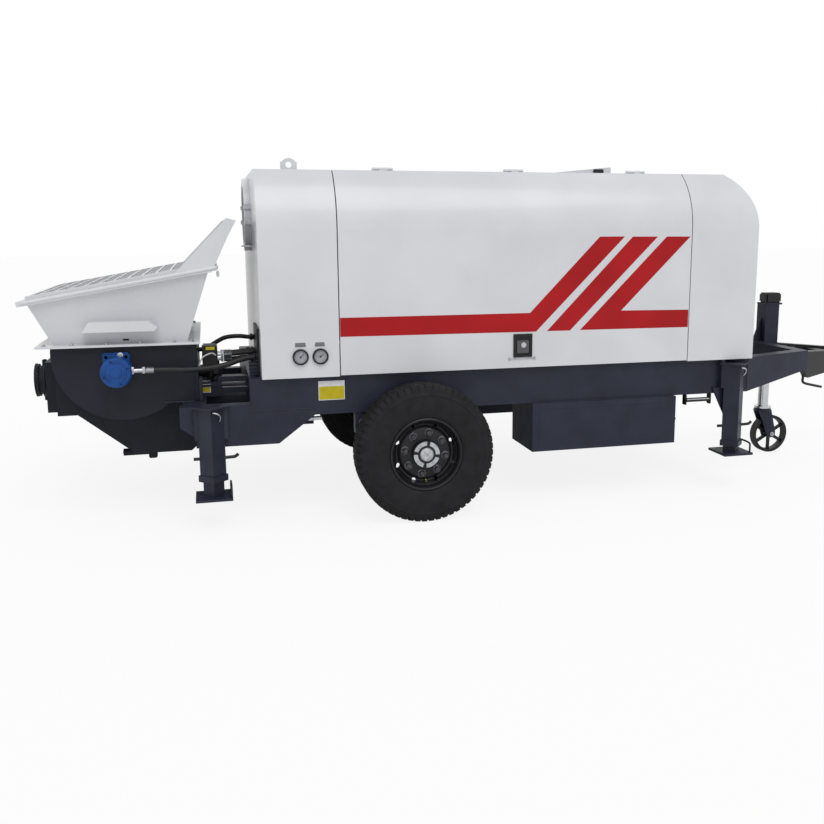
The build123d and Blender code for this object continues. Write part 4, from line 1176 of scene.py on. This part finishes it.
frameTrim = {
    "legGusset": ((1.925, 0.660), (2.016, 0.660), (2.016, 0.480)), "railSide": 0.760,
    "noseGusset": ((2.700, 0.843), (2.765, 0.843), (2.765, 1.020)), "gussetThick": 0.012,
    "stepBar": ((1.738, 1.922, -0.770, -0.730, 0.574, 0.592, 0.004),
                (1.738, 1.750, -0.770, -0.730, 0.556, 0.624, 0.003),
                (1.910, 1.922, -0.770, -0.730, 0.556, 0.624, 0.003)),
    "stepTread": (1.752, 1.908, -0.7715, -0.732, 0.588, 0.5945, 0.001),
    "springPlate": (-0.669, -0.562, -0.748, -0.700, 0.586, 0.602, 0.003),
    "beads": (((-0.960, -0.760, 0.6605), (-0.600, -0.760, 0.6605), 0.004),
              ((-0.960, -0.760, 0.702), (-0.960, -0.760, 0.843), 0.004),
              ((-1.240, -0.572, 0.702), (-1.240, -0.572, 0.895), 0.004),
              ((-1.430, -0.572, 0.701), (-1.260, -0.572, 0.701), 0.004),
              ((0.706, -0.762, 0.622), (1.661, -0.762, 0.622), 0.003),
              ((2.180, -0.760, 0.640), (2.180, -0.760, 0.842), 0.004),
              ((2.765, -0.480, 0.7135), (2.765, 0.480, 0.7135), 0.004)),
    "beadPitch": 0.007, "springBolts": ((-0.330, -0.752, 0.560), (0.330, -0.752, 0.560)),
    "springBoltSize": 0.024, "clampX": (-0.055, 0.055), "clampRadius": 0.007,
    "clampLine": ((0.757, 0.340), (0.757, 0.520), (0.757, 0.540), (0.745, 0.545),
                  (0.695, 0.545), (0.683, 0.540), (0.683, 0.520), (0.683, 0.340)),
    "boxPlug": ((0, 0), (0.014, 0), (0.014, 0.006), (0.009, 0.008), (0.009, 0.020),
                (0.005, 0.024), (0, 0.024)), "boxPlugPlace": (1.661, -0.750, 0.470),
    "boxDoor": (0.870, 0.222, 0.018), "boxDoorPlace": (1.1835, -0.790, 0.470),
    "boxDoorThick": 0.0015,
}


def weldBead(start, end, radius, pitch):   # rippled bead between two points
    start, end = place(*start), place(*end)
    along = end - start
    profile = [(0, 0)]
    for k in range(int(along.length / pitch)):
        profile += [(radius * 0.75, k * pitch), (radius, (k + 0.5) * pitch)]
    profile.append((0, along.length))
    return turned("bead", profile, start, along, 8)


def addFrameTrim(s):
    beads = joined("frameBeads", [weldBead(*row, s["beadPitch"]) for row in s["beads"]])
    bolts = boltSet("springBolts", [place(*p) for p in s["springBolts"]], outwards,
                    s["springBoltSize"])
    plug = turned("boxPlug", s["boxPlug"], place(*s["boxPlugPlace"]), (1, 0, 0), 24)
    boxDoor = sheetPlate("boxDoor", roundedRectangle(*s["boxDoor"]), place(*s["boxDoorPlace"]),
                         (1, 0, 0), (0, 0, 1), s["boxDoorThick"])
    gusset = sheetPlate("gusset", s["legGusset"], place(0, -s["railSide"], 0), (1, 0, 0),
                        (0, 0, 1), s["gussetThick"])
    noseGusset = sheetPlate("noseGusset", s["noseGusset"], place(0, s["gussetThick"] / 2, 0),
                            (1, 0, 0), (0, 0, 1), s["gussetThick"])
    addPiece("noseGusset", noseGusset, slateChassisEnamel, "chassis")
    for name, mesh, material in (
            ("legGusset", gusset, slateChassisEnamel),
            ("stepBar", blockSet("stepBar", s["stepBar"]), satinBlackEnamel),
            ("stepTread", softBlock("stepTread", *s["stepTread"]), zincPlatedSteel),
            ("springPlate", softBlock("springPlate", *s["springPlate"]), zincPlatedSteel),
            ("frameBeads", beads, slateChassisEnamel), ("springBolts", bolts, phosphatedSteel),
            ("boxPlug", plug, satinBlackEnamel), ("boxDoor", boxDoor, slateChassisEnamel)):
        addBoth(name, mesh, material, "chassis", "chassis")
    for number, x in enumerate(s["clampX"]):
        smoothBoth(f"springClamp{number}", [place(x, -y, z) for y, z in s["clampLine"]],
                   s["clampRadius"], satinBlackEnamel, "chassis", "chassis")


addFrameTrim(frameTrim)
print("legs and frame dressed")

# Jockey post: box on top, clip at its side; bands and pins on the tow bar

towing = {
    "postBox": (2.770, 2.895, -0.050, 0.050, 1.124, 1.196, 0.010),
    "postClip": (2.875, 2.889, -0.020, 0.020, 1.060, 1.110, 0.003),
    "wheelMiddle": (2.880, 0, 0.140),
    "band": ((0.1385, -0.020), (0.1400, -0.017), (0.1400, 0.017), (0.1385, 0.020),
             (0.120, 0.020), (0.120, -0.020)),
    "axleNut": (2.880, -0.047, 0.140), "axleNutSize": 0.019,
    "pinHead": (2.825, -0.394, 0.740), "pinHeadSize": 0.034,
    "lever": ((2.905, -0.345, 0.640), (2.890, -0.350, 0.600), (2.900, -0.350, 0.578),
              (2.960, -0.340, 0.562), (3.080, -0.310, 0.535)), "leverRadius": 0.009,
    "eyeMiddle": (3.625, 0, 0.705),
    "eyeBush": ((0.0378, -0.0235), (0.046, -0.0235), (0.047, -0.0225), (0.047, 0.0225),
                (0.046, 0.0235), (0.0378, 0.0235)),
}


def addTowing(s):
    addPiece("postBox", softBlock("postBox", *s["postBox"]), satinBlackEnamel, "chassis")
    addPiece("postClip", softBlock("postClip", *s["postClip"]), zincPlatedSteel, "chassis")
    band = turned("jockeyBand", s["band"], place(*s["wheelMiddle"]), (0, 1, 0), 72, ring=True)
    addPiece("jockeyBand", band, mouldedTyreRubber, "jockey_roller")
    axleNut = boltSet("jockeyNut", [place(*s["axleNut"])], outwards, s["axleNutSize"])
    addBoth("jockeyNut", axleNut, zincPlatedSteel, "jockey_caster", "jockey_caster")
    pinHead = boltSet("towPinHead", [place(*s["pinHead"])], outwards, s["pinHeadSize"])
    addBoth("towPinHead", pinHead, zincPlatedSteel, "chassis", "chassis")
    smoothLine("barLever", [place(*p) for p in s["lever"]], s["leverRadius"], satinBlackEnamel,
               "drawbar")
    bush = turned("eyeBush", s["eyeBush"], place(*s["eyeMiddle"]), (0, 0, 1), 48, ring=True)
    addPiece("eyeBush", bush, sandCastIron, "drawbar")


addTowing(towing)
print("jockey and tow bar dressed")

print("scene dressed")
